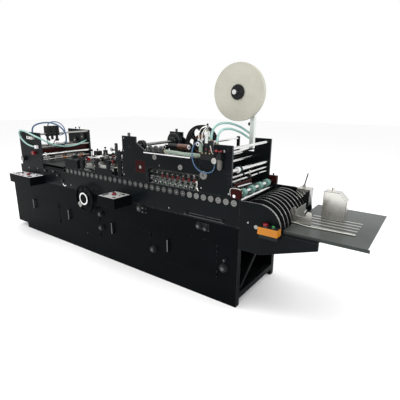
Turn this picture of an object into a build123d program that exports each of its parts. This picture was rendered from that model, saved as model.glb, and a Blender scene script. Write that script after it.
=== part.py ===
from build123d import *
import os
from math import cos, pi, radians, sin, tan

# Envelope taping machine, in millimetres. +X runs along the machine to the delivery table,
# +Y to the back and +Z up. The origin is on the floor, in the middle of the four anchor holes.
os.makedirs("parts", exist_ok=True)

# Clearances shared by all fits
bore_clearance = 0.1
face_clearance = 0.5
skin_clearance = 0.3

# Cabinet
cabinet_length = 3390.0
cabinet_depth = 748.0
cabinet_height = 700.0
panel_sheet = 3.0
deck_thickness = 10.0
toe_height = 63.0
toe_length = 214.0
frame_bar = 50.0
post_stations = (-1667.0, -880.0, -350.0, 420.0, 880.0, 1670.0)
anchor_spacing_x = 2600.0
anchor_spacing_y = 560.0
anchor_hole_radius = 9.0
anchor_lug_size = 84.0
anchor_lug_thickness = 12.0
end_brace_half = 9.0
pump_bearer_spacing = 220.0
bearer_width = 40.0
vent_columns = 8
vent_rows = 6
vent_pitch_x = 130.0
vent_pitch_z = 24.0
vent_length = 90.0
vent_width = 8.0
vent_height = 420.0
tray_sheet = 3.0
tray_notch = 96.0
deck_notch_length = 95.0
deck_notch_margin = 34.0
left_x = -cabinet_length / 2
right_x = cabinet_length / 2
front_y = -cabinet_depth / 2
back_y = cabinet_depth / 2
panel_top = cabinet_height - deck_thickness

# Doors
door_width = 577.0
door_bottom = 198.0
door_height = 272.0
wide_door_height = 329.0
door_sheet = 2.5
door_overlap = 14.0
door_left_edges = (-1289.0, -555.0, 181.0, 926.0)
door_heights = (door_height, door_height, door_height, wide_door_height)
handle_offset = 64.0
handle_length = 115.0
handle_thickness = 14.0
handle_reach = 26.0
handle_height = 375.0
hinge_pin_radius = 2.0
hinge_barrel_radius = 4.0
hinge_barrel_length = 30.0
hinge_inset = 50.0
hinge_ear_length = 15.0
handle_rounding = 4.6

# Side plates and the row of rollers between them
plate_span = 700.0
plate_thickness = 20.0
tower_thickness = 18.0
feeder_plate_left = -1455.0
feeder_plate_top = 860.0
side_plate_top = 924.0
raised_plate_top = 980.0
feeder_step_x = -500.0
raised_left = 5.0
raised_right = 255.0
roller_count = 31
roller_pitch = 70.0
first_roller_x = -455.0
roller_height = 885.0
roller_radius = 28.0
journal_radius = 12.0
roller_end_gap = 12.0
cap_radius = 25.0
cap_thickness = 7.0
cap_recess_radius = 10.0
cap_recess_depth = 3.0
cap_chamfer = 1.5
side_slot_left = 1163.0
side_slot_right = 1569.0
side_slot_height = 724.0
side_slot_width = 22.0
plate_back_y = front_y + plate_span
plate_inner_front = front_y + plate_thickness
plate_inner_back = plate_back_y - plate_thickness
tower_inner_front = front_y + tower_thickness
tower_inner_back = plate_back_y - tower_thickness
roller_front = plate_inner_front + roller_end_gap
roller_back = plate_inner_back - roller_end_gap
last_roller_x = first_roller_x + (roller_count - 1) * roller_pitch

# Towers
feeder_tower_left = -1405.0
feeder_tower_right = -955.0
feeder_tower_top = 1266.0
middle_tower_left = 433.0
middle_tower_right = 736.0
middle_neck_left = 440.0
middle_neck_right = 614.0
middle_tower_top = 1320.0
middle_shoulder_high = 1271.0
middle_shoulder_low = 1199.0
window_left = 604.0
window_right = 723.0
window_bottom = 1002.0
window_top = 1112.0
tape_tower_left = 1319.0
tape_neck_left = 1452.0
tape_tower_right = 1615.0
tape_shoulder = 1190.0
tape_tower_top = 1315.0
beam_bottom = 1060.0
beam_top = 1187.0
beam_strip_height = 9.0
beam_strip_width = 30.0
big_cap_radius = 34.0
big_cap_x = 1363.0
big_cap_height = 1066.0
beam_cap_stations = ((846.0, 1159.0), (1129.0, 1102.0))
beam_cap_radius = 22.0
splice_thickness = 8.0
splice_height = 60.0
splice_length = 120.0
joint_bottom = 716.0
joint_top = 856.0

# Cross rods: along, height, radius
feeder_rods = (
    (-975.0, 1250.0, 11.0),
    (-975.0, 1098.0, 11.0),
    (-977.0, 1010.0, 15.0),
    (-985.0, 950.0, 10.0),
)
tape_rods = (
    (1585.0, 1287.0, 12.0),
    (1470.0, 1225.0, 11.0),
    (1470.0, 1152.0, 11.0),
    (1585.0, 1112.0, 15.0),
    (1590.0, 1066.0, 9.0),
    (1590.0, 1030.0, 9.0),
    (1340.0, 1168.0, 11.0),
)
section_rods = (
    (-200.0, 1030.0, 9.0),
    (40.0, 1045.0, 9.0),
    (215.0, 1045.0, 9.0),
    (385.0, 1150.0, 9.0),
)
guide_rod = (1300.0, 1304.0, 9.0)
guide_rod_back = 296.0
guide_post_width = 28.0
guide_post_depth = 14.0
guide_post_gap = 22.0
guide_post_rise = 18.0
guide_foot_bottom = 1110.0
guide_foot_top = 1165.0
section_bracket_width = 46.0
section_bracket_thickness = 14.0
section_bracket_rise = 22.0

# Feeder
feed_table_left = -1385.0
feed_table_right = -560.0
feed_table_height = 915.0
feed_table_sheet = 6.0
feed_table_flange = 40.0
feed_shaft_x = -1040.0
feed_shaft_height = 962.0
feed_shaft_radius = 12.0
feed_wheel_radius = 38.0
feed_wheel_width = 30.0
feed_wheel_stations = (-190.0, -24.0, 142.0)
sucker_shaft_x = -1180.0
sucker_shaft_height = 1095.0
sucker_shaft_radius = 13.0
sucker_arm_length = 84.0
sucker_arm_thickness = 12.0
sucker_tube_radius = 6.0
sucker_cup_radius = 17.0
sucker_cup_height = 24.0
sucker_neck_radius = 8.0
sucker_stations = (-190.0, -79.0, 32.0, 143.0)
sucker_drop = 96.0
side_knob_x = -1341.0
side_knob_height = 940.0
side_knob_radius = 30.0
side_knob_length = 34.0
side_knob_shaft = 8.0
side_knob_flutes = 8
spring_wire = 3.0
spring_pitch = 11.0
spring_turns = 6
spring_collar = 8.0
spring_wire_sides = 8
spring_stations = (-60.0, 60.0, 180.0)

# Gluing and creasing section
cover_left = -500.0
cover_right = -280.0
cover_depth = 100.0
cover_top = 1018.0
plough_left = -260.0
plough_right = 410.0
plough_sheet = 4.0
plough_width = 90.0
plough_height = 938.0
plough_rise = 34.0
plough_lug = 16.0
plough_stations = (-235.0, -80.0, 75.0, 220.0)
glue_trough_left = 70.0
glue_trough_right = 190.0
glue_trough_top = 1000.0
glue_trough_wall = 4.0
trough_foot = 12.0
clamp_size = 34.0
clamp_stations = (
    (-200.0, -290.0),
    (-200.0, 150.0),
    (40.0, -160.0),
    (215.0, -300.0),
    (215.0, 0.0),
    (385.0, -310.0),
)
clamp_knob_radius = 11.0
clamp_knob_height = 34.0

# Middle tower
crease_shaft_x = 535.0
crease_shaft_height = 1226.0
crease_shaft_radius = 15.0
big_wheel_y = 263.0
big_wheel_radius = 85.0
big_wheel_width = 22.0
big_wheel_flange = 97.0
small_wheel_y = -214.0
small_wheel_radius = 46.0
small_wheel_width = 40.0
press_roller_height = 1052.0
press_roller_radius = 48.0
press_roller_journal = 14.0
screw_radius = 5.0
screw_depth = 40.0
screw_knob_radius = 13.0
screw_knob_height = 30.0
screw_knob_flutes = 6
star_knob_stations = 9
star_knob_left = 800.0
star_knob_pitch = 58.0
star_knob_height = 1005.0
star_knob_radius = 15.0
star_knob_length = 22.0
star_bar_height = 26.0
star_bar_depth = 20.0
star_bar_y = -330.0
star_foot_width = 30.0
belt_thickness = 3.0
belt_width = 32.0
belt_stations = (-240.0, -130.0, -24.0, 82.0, 192.0)
belt_gap = 0.3

# Exit rollers and their maroon blocks
exit_roller_radius = 24.0
exit_core_radius = 20.0
exit_ring_radius = 32.0
exit_ring_width = 46.0
exit_ring_stations = (-240.0, -96.0, 48.0, 192.0)
block_left = 1617.5
block_right = 1694.0
block_top = 990.0
block_thickness = 34.0
block_screw_radius = 7.0
block_screw_height = 20.0

# Delivery unit
delivery_top = 915.0
delivery_arc_x = 1852.0
delivery_arc_height = 740.0
delivery_arc_radius = 175.0
delivery_bottom = 523.0
delivery_bottom_x = 1881.0
arm_end_x = 2295.0
arm_end_bottom = 663.0
arm_top = 716.0
disc_shaft_x = 1835.0
disc_shaft_height = 735.0
disc_shaft_radius = 15.0
disc_radius = 195.0
disc_thickness = 10.0
disc_count = 8
disc_pitch = 64.0
disc_first_y = -300.0
disc_hub_radius = 34.0
disc_hub_width = 30.0
disc_slot_count = 6
disc_slot_width = 9.0
disc_pocket_share = 0.62
disc_pocket_turn = 52.0
disc_pocket_bend = 0.45
table_left = 2035.0
table_right = 2600.0
table_front = -344.0
table_back = 476.0
table_top = 745.0
table_sheet = 3.0
table_lip = 25.0
table_end_lip = 34.0
table_rail_count = 5
table_rail_pitch = 64.0
table_rail_middle = 7.0
table_rail_left = 2103.0
table_rail_right = 2470.0
table_rail_width = 12.0
table_rail_height = 2.0
support_stations = (2075.0, 2255.0)
support_width = 30.0
support_bottom = 680.0
riser_gap = 8.0
stop_left = 2172.0
stop_length = 175.0
stop_depth = 80.0
stop_height = 222.0
stop_wall = 4.0
stop_chamfer = 58.0
stop_front = 92.0
stop_knob_radius = 11.0
stop_knob_height = 26.0
stacker_left = 2040.0
stacker_length = 125.0
stacker_depth = 230.0
stacker_front = -140.0
stacker_height = 104.0
stacker_sheet = 3.0
stacker_tab_width = 44.0
stacker_tab_share = 0.8
stacker_side_share = 0.62
separator_left = 1930.0
separator_width = 106.0
separator_front = 176.0
separator_depth = 100.0
separator_bottom = 800.0
separator_top = 940.0
lever_radius = 5.0
lever_length = 112.0
lever_boss_radius = 10.0
lever_boss_width = 14.0
lever_ear_thickness = 6.0
lever_pin_radius = 4.0
lever_pivot_rise = 14.0
lever_lean = 12.0
lever_place_share = 0.4

# Tape roll on its post, and the liner rewind reel
roll_x = 1485.0
roll_height = 1698.0
roll_front = -94.0
roll_width = 40.0
roll_radius = 222.0
roll_edge_rounding = 1.5
core_radius = 50.0
core_flange_radius = 58.0
core_overhang = 9.0
core_gap = 3.0
spindle_radius = 12.0
spindle_nose = 62.0
spindle_nose_radius = 18.0
arm_bar_right = 1660.0
arm_bar_height = 36.0
arm_bar_thickness = 20.0
post_x = 1585.0
post_width = 36.0
post_depth = 32.0
post_bottom = 1262.0
reel_x = 920.0
reel_height = 1225.0
reel_y = 226.0
reel_width = 46.0
reel_radius = 185.0
reel_core_radius = 62.0
reel_flange = 5.0
reel_rim = 14.0
reel_windows = 6
reel_spindle_radius = 11.0
reel_bracket_width = 80.0
reel_bracket_sheet = 14.0

# Controls
left_console_left = -1385.0
left_console_length = 450.0
left_console_depth = 190.0
middle_console_left = 300.0
middle_console_length = 230.0
middle_console_depth = 215.0
console_height = 98.0
console_top = 772.0
console_wall = 2.5
console_panel = 3.0
stop_button_radius = 19.0
stop_button_height = 16.0
push_button_radius = 11.0
push_button_height = 9.0
button_stem_radius = 7.0
button_stem_length = 22.0
button_gap = 6.5
left_stop_shares = (0.66, 0.6)
left_push_shares = (0.3, 0.5)
middle_push_shares = (0.25, 0.3)
box_left = 1880.0
box_length = 150.0
box_depth = 66.0
box_bottom = 715.0
box_height = 55.0
box_bracket_height = 34.0
box_bracket_depth = 48.0
box_stop_share = 0.3
box_start_share = 0.7
wheel_x = -110.0
wheel_height = 640.0
wheel_radius = 148.0
wheel_rim = 26.0
wheel_rim_depth = 24.0
wheel_rim_rounding = 9.6
wheel_rim_y = -450.0
wheel_ring_radius = 75.0
wheel_ring_bore = 50.0
wheel_ring_thickness = 8.0
wheel_hub_radius = 30.0
wheel_hub_length = 50.0
wheel_shaft_radius = 14.0
wheel_shaft_grip = 60.0
wheel_spoke_width = 26.0
wheel_spoke_thickness = 10.0
wheel_spoke_angle = 225.0
wheel_spoke_count = 3
wheel_flange_radius = 44.0
wheel_flange_thickness = 10.0
knob_stations = (
    (64.0, 489.0, 26.0),
    (62.0, 337.0, 28.0),
    (803.0, 288.0, 30.0),
    (1574.0, 326.0, 32.0),
    (1586.0, 402.0, 14.0),
    (1328.0, 638.0, 26.0),
    (1397.0, 628.0, 20.0),
    (648.0, 660.0, 32.0),
    (700.0, 678.0, 14.0),
    (702.0, 640.0, 12.0),
)
knob_length = 26.0
knob_end = 6.0

# Drive and services inside the cabinet
gearbox_width = 170.0
gearbox_depth = 150.0
gearbox_height = 130.0
gearbox_front_y = -300.0
motor_radius = 68.0
motor_length = 230.0
pump_x = 1180.0
pump_radius = 92.0
pump_length = 320.0
pump_foot_height = 20.0
pump_foot_width = 150.0
electric_left = -1560.0
electric_width = 520.0
electric_depth = 230.0
electric_bottom = 150.0
electric_height = 480.0

# Air: filter with gauge and lever, manifolds
filter_x = 1520.0
filter_height = 1226.0
filter_body = 40.0
filter_bowl_radius = 18.0
filter_bowl_length = 74.0
filter_knob_radius = 12.6
gauge_x = 1470.0
gauge_height = 1192.0
gauge_radius = 22.0
gauge_depth = 22.0
valve_lever_height = 1266.0
valve_lever_length = 46.0
valve_lever_thickness = 5.0
manifold_left = 1326.0
manifold_length = 104.0
manifold_depth = 44.0
manifold_height = 40.0
manifold_valve_heights = (126.0, 176.0, 106.0)
manifold_valve_width = 27.0
feeder_manifold_left = -1190.0
feeder_manifold_length = 130.0
feeder_manifold_bottom = 1188.0
feeder_manifold_depth = 28.0
feeder_manifold_height = 30.0
feeder_valve_height = 34.0
feeder_valve_width = 24.0
feeder_valve_count = 3
feeder_fittings = ((-1115.0, 1008.0, 40.0), (-1040.0, 1085.0, 38.0))
hung_valve_stations = (-260.0, -200.0, -140.0)
hung_valve_width = 34.0
hung_valve_length = 70.0
hung_valve_drop = 18.0
hung_valve_rise = 90.0
tube_clamp_y = -75.0
tube_clamp_size = 40.0
air_cylinder_left = 745.0
air_cylinder_right = 945.0
air_cylinder_radius = 21.0

# Hoses and tubes
hose_radius = 10.0
thin_hose_radius = 9.0
wide_hose_radius = 15.0
tube_radius = 5.0
corner_share = 0.45
beam_hose_share = 0.6


def slab(x_from, x_to, y_from, y_to, z_from, z_to, mode=Mode.ADD):
    """A block between two corners, in the part being built."""
    with Locations(((x_from + x_to) / 2, (y_from + y_to) / 2, (z_from + z_to) / 2)):
        Box(x_to - x_from, y_to - y_from, z_to - z_from, mode=mode)


def round_y(x, z, radius, y_from, y_to, mode=Mode.ADD):
    """A round bar or bore along Y."""
    with Locations(Location((x, (y_from + y_to) / 2, z), (90, 0, 0))):
        Cylinder(radius, y_to - y_from, mode=mode)


def round_z(x, y, radius, z_from, z_to, mode=Mode.ADD):
    """A round bar or bore along Z."""
    with Locations((x, y, (z_from + z_to) / 2)):
        Cylinder(radius, z_to - z_from, mode=mode)


def round_x(y, z, radius, x_from, x_to, mode=Mode.ADD):
    """A round bar or bore along X."""
    with Locations(Location(((x_from + x_to) / 2, y, z), (0, 90, 0))):
        Cylinder(radius, x_to - x_from, mode=mode)


def roller_stations():
    """The places along the machine of the roller shafts."""
    return [first_roller_x + number * roller_pitch for number in range(roller_count)]


def plate_top_at(x):
    """Height of the side plates' top edge at one place along the machine."""
    if x < feeder_step_x:
        return feeder_plate_top
    if raised_left < x < raised_right:
        return raised_plate_top
    return side_plate_top


# Base frame: plinth, rails, posts and cross bars, with four lugs that take the floor anchors
rail_depth_front = (front_y + panel_sheet, front_y + panel_sheet + frame_bar)
rail_depth_back = (back_y - panel_sheet - frame_bar, back_y - panel_sheet)
frame_left = left_x + panel_sheet
lug_y = anchor_spacing_y / 2
with BuildPart() as base_frame:
    for y_from, y_to in (rail_depth_front, rail_depth_back):
        slab(left_x + toe_length, right_x, y_from, y_to, 0, toe_height)
        slab(frame_left, right_x, y_from, y_to, toe_height, toe_height + frame_bar)
        slab(frame_left, right_x, y_from, y_to, panel_top - frame_bar, panel_top)
        for x in post_stations:
            slab(x - frame_bar / 2, x + frame_bar / 2, y_from, y_to, toe_height, panel_top)
    for x in post_stations:
        slab(
            x - frame_bar / 2,
            x + frame_bar / 2,
            rail_depth_front[1],
            rail_depth_back[0],
            toe_height,
            toe_height + frame_bar,
        )
    for x in post_stations[:-1]:
        slab(
            x - frame_bar / 2,
            x + frame_bar / 2,
            rail_depth_front[1],
            rail_depth_back[0],
            panel_top - frame_bar,
            panel_top,
        )
    for x in (-anchor_spacing_x / 2, anchor_spacing_x / 2):
        for side, rail_y in ((-1, rail_depth_front[1]), (1, rail_depth_back[0])):
            lug_end = side * (lug_y - anchor_lug_size / 2)
            slab(
                x - anchor_lug_size / 2,
                x + anchor_lug_size / 2,
                min(rail_y, lug_end),
                max(rail_y, lug_end),
                0,
                anchor_lug_thickness,
            )
            round_z(x, side * lug_y, anchor_hole_radius, 0, anchor_lug_thickness, Mode.SUBTRACT)
    with BuildSketch(Plane.YZ.offset(post_stations[-1] - end_brace_half)):
        with BuildLine():
            Polyline(
                (rail_depth_front[1], toe_height + frame_bar),
                (rail_depth_front[1] + frame_bar, toe_height + frame_bar),
                (rail_depth_back[0], panel_top - 2 * frame_bar),
                (rail_depth_back[0] - frame_bar, panel_top - 2 * frame_bar),
                close=True,
            )
        make_face()
    extrude(amount=2 * end_brace_half)
    for x in (pump_x - pump_bearer_spacing / 2, pump_x + pump_bearer_spacing / 2):
        slab(
            x - bearer_width / 2,
            x + bearer_width / 2,
            rail_depth_front[1],
            rail_depth_back[0],
            toe_height,
            toe_height + frame_bar,
        )
    round_y(wheel_x, wheel_height, wheel_shaft_radius + bore_clearance, *rail_depth_front, Mode.SUBTRACT)
base_frame.part.label = "base_frame"
export_step(base_frame.part, "parts/base_frame.step")

# Front panel with the door openings and the bore of the handwheel shaft
with BuildPart() as front_panel:
    with BuildSketch(Plane.XZ.offset(-front_y)):
        with BuildLine():
            Polyline(
                (left_x, toe_height),
                (left_x + toe_length, toe_height),
                (left_x + toe_length, 0),
                (right_x, 0),
                (right_x, panel_top),
                (left_x, panel_top),
                close=True,
            )
        make_face()
        for left, height in zip(door_left_edges, door_heights):
            with Locations((left + door_width / 2, door_bottom + height / 2)):
                Rectangle(door_width - 2 * door_overlap, height - 2 * door_overlap, mode=Mode.SUBTRACT)
        with Locations((wheel_x, wheel_height)):
            Circle(wheel_shaft_radius + bore_clearance, mode=Mode.SUBTRACT)
    extrude(amount=-panel_sheet)
front_panel.part.label = "front_panel"
export_step(front_panel.part, "parts/front_panel.step")

# Back panel with rows of cooling slots, the left end panel, and the tray under the cross bars, which
# is notched round the anchor lugs
with BuildPart() as cabinet_panels:
    with BuildSketch(Plane.XZ.offset(-back_y + panel_sheet)):
        with BuildLine():
            Polyline(
                (left_x, toe_height),
                (left_x + toe_length, toe_height),
                (left_x + toe_length, 0),
                (right_x, 0),
                (right_x, panel_top),
                (left_x, panel_top),
                close=True,
            )
        make_face()
        with Locations((0, vent_height)):
            with GridLocations(vent_pitch_x, vent_pitch_z, vent_columns, vent_rows):
                SlotOverall(vent_length, vent_width, mode=Mode.SUBTRACT)
    extrude(amount=-panel_sheet)
    slab(left_x, frame_left, front_y + panel_sheet, back_y - panel_sheet, toe_height, panel_top)
    tray_low = toe_height - tray_sheet
    slab(
        left_x + toe_length,
        right_x,
        rail_depth_front[1],
        rail_depth_back[0],
        tray_low,
        toe_height,
    )
    for x in (-anchor_spacing_x / 2, anchor_spacing_x / 2):
        for y in (-lug_y, lug_y):
            slab(
                x - tray_notch / 2,
                x + tray_notch / 2,
                y - tray_notch / 2,
                y + tray_notch / 2,
                tray_low,
                toe_height,
                Mode.SUBTRACT,
            )
cabinet_panels.part.label = "cabinet_panels"
export_step(cabinet_panels.part, "parts/cabinet_panels.step")

# Deck, notched at its right end where the delivery discs dip below it
with BuildPart() as deck_plate:
    slab(left_x, right_x, front_y, back_y, panel_top, cabinet_height)
    slab(
        right_x - deck_notch_length,
        right_x,
        front_y + deck_notch_margin,
        plate_back_y - deck_notch_margin,
        panel_top,
        cabinet_height,
        Mode.SUBTRACT,
    )
deck_plate.part.label = "deck_plate"
export_step(deck_plate.part, "parts/deck_plate.step")

# Door hinges: an ear above and below each door knuckle, joined by the pin and footed on the front panel
leaf_back_y = front_y - face_clearance
leaf_front_y = leaf_back_y - door_sheet
hinge_y = leaf_back_y - hinge_barrel_radius
hinge_offset = hinge_barrel_radius + face_clearance


def hinge_heights(height):
    """Middle heights of a door's two knuckles."""
    return (door_bottom + hinge_inset, door_bottom + height - hinge_inset)


with BuildPart() as door_hinges:
    for left, height in zip(door_left_edges, door_heights):
        hinge_x = left + door_width + hinge_offset
        for middle in hinge_heights(height):
            knuckle_half = hinge_barrel_length / 2
            ear_half = knuckle_half + face_clearance + hinge_ear_length
            round_z(hinge_x, hinge_y, hinge_pin_radius, middle - ear_half, middle + ear_half)
            for low, high in (
                (middle - ear_half, middle - knuckle_half - face_clearance),
                (middle + knuckle_half + face_clearance, middle + ear_half),
            ):
                round_z(hinge_x, hinge_y, hinge_barrel_radius, low, high)
                slab(
                    hinge_x - hinge_barrel_radius,
                    hinge_x + hinge_barrel_radius,
                    hinge_y,
                    front_y,
                    low,
                    high,
                )
door_hinges.part.label = "door_hinges"
export_step(door_hinges.part, "parts/door_hinges.step")

# Four doors, each a leaf with two knuckles on its right edge and a bar handle near its left edge
for number, (left, height) in enumerate(zip(door_left_edges, door_heights), start=1):
    hinge_x = left + door_width + hinge_offset
    handle_x = left + handle_offset
    handle_low = handle_height - handle_length / 2
    handle_high = handle_height + handle_length / 2
    bar_y = leaf_front_y - handle_reach
    with BuildPart() as door:
        slab(left, left + door_width, leaf_front_y, leaf_back_y, door_bottom, door_bottom + height)
        for middle in hinge_heights(height):
            low = middle - hinge_barrel_length / 2
            high = middle + hinge_barrel_length / 2
            slab(left + door_width, hinge_x, leaf_front_y, leaf_back_y, low, high)
            round_z(hinge_x, hinge_y, hinge_barrel_radius, low, high)
            round_z(hinge_x, hinge_y, hinge_pin_radius + bore_clearance, low, high, Mode.SUBTRACT)
        slab(
            handle_x - handle_thickness / 2,
            handle_x + handle_thickness / 2,
            bar_y,
            bar_y + handle_thickness,
            handle_low,
            handle_high,
        )
        for low, high in (
            (handle_low, handle_low + handle_thickness),
            (handle_high - handle_thickness, handle_high),
        ):
            slab(
                handle_x - handle_thickness / 2,
                handle_x + handle_thickness / 2,
                bar_y,
                leaf_front_y,
                low,
                high,
            )
        fillet(
            door.edges().filter_by(Axis.Z).filter_by_position(Axis.Y, bar_y, bar_y),
            handle_rounding,
        )
    door.part.label = f"door_{number}"
    export_step(door.part, f"parts/door_{number}.step")


# Side plates: stepped top edge, one bore for each roller journal, a long slot in the front one
def side_plate(outer_y, thickness, with_slot):
    """A side plate whose outer face lies at outer_y; thickness is signed along Y."""
    with BuildPart() as plate:
        with BuildSketch(Plane.XZ.offset(-outer_y)):
            with BuildLine():
                Polyline(
                    (feeder_plate_left, cabinet_height),
                    (right_x, cabinet_height),
                    (right_x, side_plate_top),
                    (raised_right, side_plate_top),
                    (raised_right, raised_plate_top),
                    (raised_left, raised_plate_top),
                    (raised_left, side_plate_top),
                    (feeder_step_x, side_plate_top),
                    (feeder_step_x, feeder_plate_top),
                    (feeder_plate_left, feeder_plate_top),
                    close=True,
                )
            make_face()
            with Locations([(x, roller_height) for x in roller_stations()]):
                Circle(journal_radius + bore_clearance, mode=Mode.SUBTRACT)
            if with_slot:
                with Locations(((side_slot_left + side_slot_right) / 2, side_slot_height)):
                    SlotOverall(side_slot_right - side_slot_left, side_slot_width, mode=Mode.SUBTRACT)
        extrude(amount=-thickness)
    return plate


front_side_plate = side_plate(front_y, plate_thickness, True)
front_side_plate.part.label = "front_side_plate"
export_step(front_side_plate.part, "parts/front_side_plate.step")
back_side_plate = side_plate(plate_back_y, -plate_thickness, False)
back_side_plate.part.label = "back_side_plate"
export_step(back_side_plate.part, "parts/back_side_plate.step")

# Transport rollers with their journals in the side plates; the last station is the exit roller's
with BuildPart() as transport_rollers:
    for x in roller_stations()[:-1]:
        round_y(x, roller_height, roller_radius, roller_front, roller_back)
        round_y(x, roller_height, journal_radius, front_y, plate_back_y)
transport_rollers.part.label = "transport_rollers"
export_step(transport_rollers.part, "parts/transport_rollers.step")


# Round caps over the journals' ends, on the outer faces of both side plates and of the beam
def cap(x, z, radius, face_y, side):
    """A recessed round cap on a plate's outer face; side is -1 in front and 1 behind."""
    outer = face_y + side * cap_thickness
    round_y(x, z, radius, min(face_y, outer), max(face_y, outer))
    inner = outer - side * cap_recess_depth
    round_y(x, z, cap_recess_radius, min(inner, outer), max(inner, outer), Mode.SUBTRACT)


with BuildPart() as bearing_caps:
    for x in roller_stations():
        cap(x, roller_height, cap_radius, front_y, -1)
        cap(x, roller_height, cap_radius, plate_back_y, 1)
    cap(big_cap_x, big_cap_height, big_cap_radius, front_y, -1)
    for x, z in beam_cap_stations:
        cap(x, z, beam_cap_radius, front_y, -1)
    cap(disc_shaft_x, disc_shaft_height, cap_radius, plate_back_y, 1)
    face_groups = bearing_caps.faces().filter_by(Axis.Y).group_by(Axis.Y)
    outer_edges = (face_groups[0] + face_groups[-1]).edges().filter_by(GeomType.CIRCLE)
    chamfer(outer_edges.filter_by(lambda edge: edge.radius > cap_recess_radius), cap_chamfer)
bearing_caps.part.label = "bearing_caps"
export_step(bearing_caps.part, "parts/bearing_caps.step")

# Transport belts: flat loops round the whole row of rollers
belt_left = roller_stations()[0]
belt_right = roller_stations()[-2]
belt_middle_x = (belt_left + belt_right) / 2
with BuildPart() as transport_belts:
    for y in belt_stations:
        with BuildSketch(Plane.XZ.offset(-(y - belt_width / 2))):
            with Locations((belt_middle_x, roller_height)):
                belt_span = belt_right - belt_left
                inner_radius = roller_radius + belt_gap
                outer_radius = inner_radius + belt_thickness
                SlotOverall(belt_span + 2 * outer_radius, 2 * outer_radius)
                SlotOverall(belt_span + 2 * inner_radius, 2 * inner_radius, mode=Mode.SUBTRACT)
        extrude(amount=-belt_width)
transport_belts.part.label = "transport_belts"
export_step(transport_belts.part, "parts/transport_belts.step")


# Tower plates
def outline_plates(points, holes, front_outer, back_outer, thickness):
    """A pair of like plates, front and back, with round holes given as (x, z, radius)."""
    with BuildPart() as plates:
        for outer_y, amount in ((front_outer, -thickness), (back_outer, thickness)):
            with BuildSketch(Plane.XZ.offset(-outer_y)):
                with BuildLine():
                    Polyline(*points, close=True)
                make_face()
                for x, z, radius in holes:
                    with Locations((x, z)):
                        Circle(radius, mode=Mode.SUBTRACT)
            extrude(amount=amount)
    return plates


def rod_holes(rods):
    """Holes that a set of cross rods passes, with clearance."""
    return [(x, z, radius + bore_clearance) for x, z, radius in rods]


feeder_tower = outline_plates(
    (
        (feeder_tower_left, feeder_plate_top),
        (feeder_tower_right, feeder_plate_top),
        (feeder_tower_right, feeder_tower_top),
        (feeder_tower_left, feeder_tower_top),
    ),
    rod_holes(feeder_rods)
    + [
        (feed_shaft_x, feed_shaft_height, feed_shaft_radius + bore_clearance),
        (sucker_shaft_x, sucker_shaft_height, sucker_shaft_radius + bore_clearance),
        (side_knob_x, side_knob_height, side_knob_shaft + bore_clearance),
    ],
    front_y,
    plate_back_y,
    tower_thickness,
)
feeder_tower.part.label = "feeder_tower_plates"
export_step(feeder_tower.part, "parts/feeder_tower_plates.step")

neck_middle_x = (middle_neck_left + middle_neck_right) / 2
middle_tower = outline_plates(
    (
        (middle_tower_left, side_plate_top),
        (middle_tower_right, side_plate_top),
        (middle_tower_right, middle_shoulder_low),
        (middle_neck_right, middle_shoulder_high),
        (middle_neck_right, middle_tower_top),
        (middle_neck_left, middle_tower_top),
        (middle_neck_left, middle_shoulder_low),
        (middle_tower_left, middle_shoulder_low),
    ),
    [(crease_shaft_x, crease_shaft_height, crease_shaft_radius + bore_clearance)],
    front_y,
    plate_back_y,
    tower_thickness,
)
with middle_tower:
    window_middle_x = (window_left + window_right) / 2
    slab(window_left, window_right, front_y, plate_back_y, window_bottom, window_top, Mode.SUBTRACT)
    for y in (front_y + tower_thickness / 2, plate_back_y - tower_thickness / 2):
        screw_bottom = middle_tower_top - screw_depth
        bore = screw_radius + bore_clearance
        round_z(neck_middle_x, y, bore, screw_bottom, middle_tower_top, Mode.SUBTRACT)
middle_tower.part.label = "middle_tower_plates"
export_step(middle_tower.part, "parts/middle_tower_plates.step")

tape_tower = outline_plates(
    (
        (tape_tower_left, side_plate_top),
        (tape_tower_right, side_plate_top),
        (tape_tower_right, tape_tower_top),
        (tape_neck_left, tape_tower_top),
        (tape_neck_left, tape_shoulder),
        (tape_tower_left, tape_shoulder),
    ),
    rod_holes(tape_rods),
    front_y,
    plate_back_y,
    tower_thickness,
)
tape_tower.part.label = "tape_tower_plates"
export_step(tape_tower.part, "parts/tape_tower_plates.step")

# Upper beams between the middle and the tape tower, the bright strip on each, and the rewind reel's arm
with BuildPart() as upper_beams:
    for y_from, y_to in ((front_y, tower_inner_front), (tower_inner_back, plate_back_y)):
        slab(middle_tower_right, tape_tower_left, y_from, y_to, beam_bottom, beam_top)
    for y_from, y_to in (
        (front_y, front_y + beam_strip_width),
        (plate_back_y - beam_strip_width, plate_back_y),
    ):
        slab(middle_tower_right, tape_tower_left, y_from, y_to, beam_top, beam_top + beam_strip_height)
    reel_left = reel_x - reel_bracket_width / 2
    reel_right = reel_x + reel_bracket_width / 2
    bracket_front = tower_inner_back - reel_bracket_sheet
    bracket_top = reel_height + reel_spindle_radius * 2
    slab(reel_left, reel_right, bracket_front, tower_inner_back, beam_bottom, bracket_top)
    reel_front = reel_y - reel_width / 2 - spindle_nose / 4
    round_y(reel_x, reel_height, reel_spindle_radius, reel_front, bracket_front)
    nose_front = reel_front - cap_thickness
    round_y(reel_x, reel_height, spindle_nose_radius, nose_front, reel_front)
upper_beams.part.label = "upper_beams"
export_step(upper_beams.part, "parts/upper_beams.step")

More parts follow.
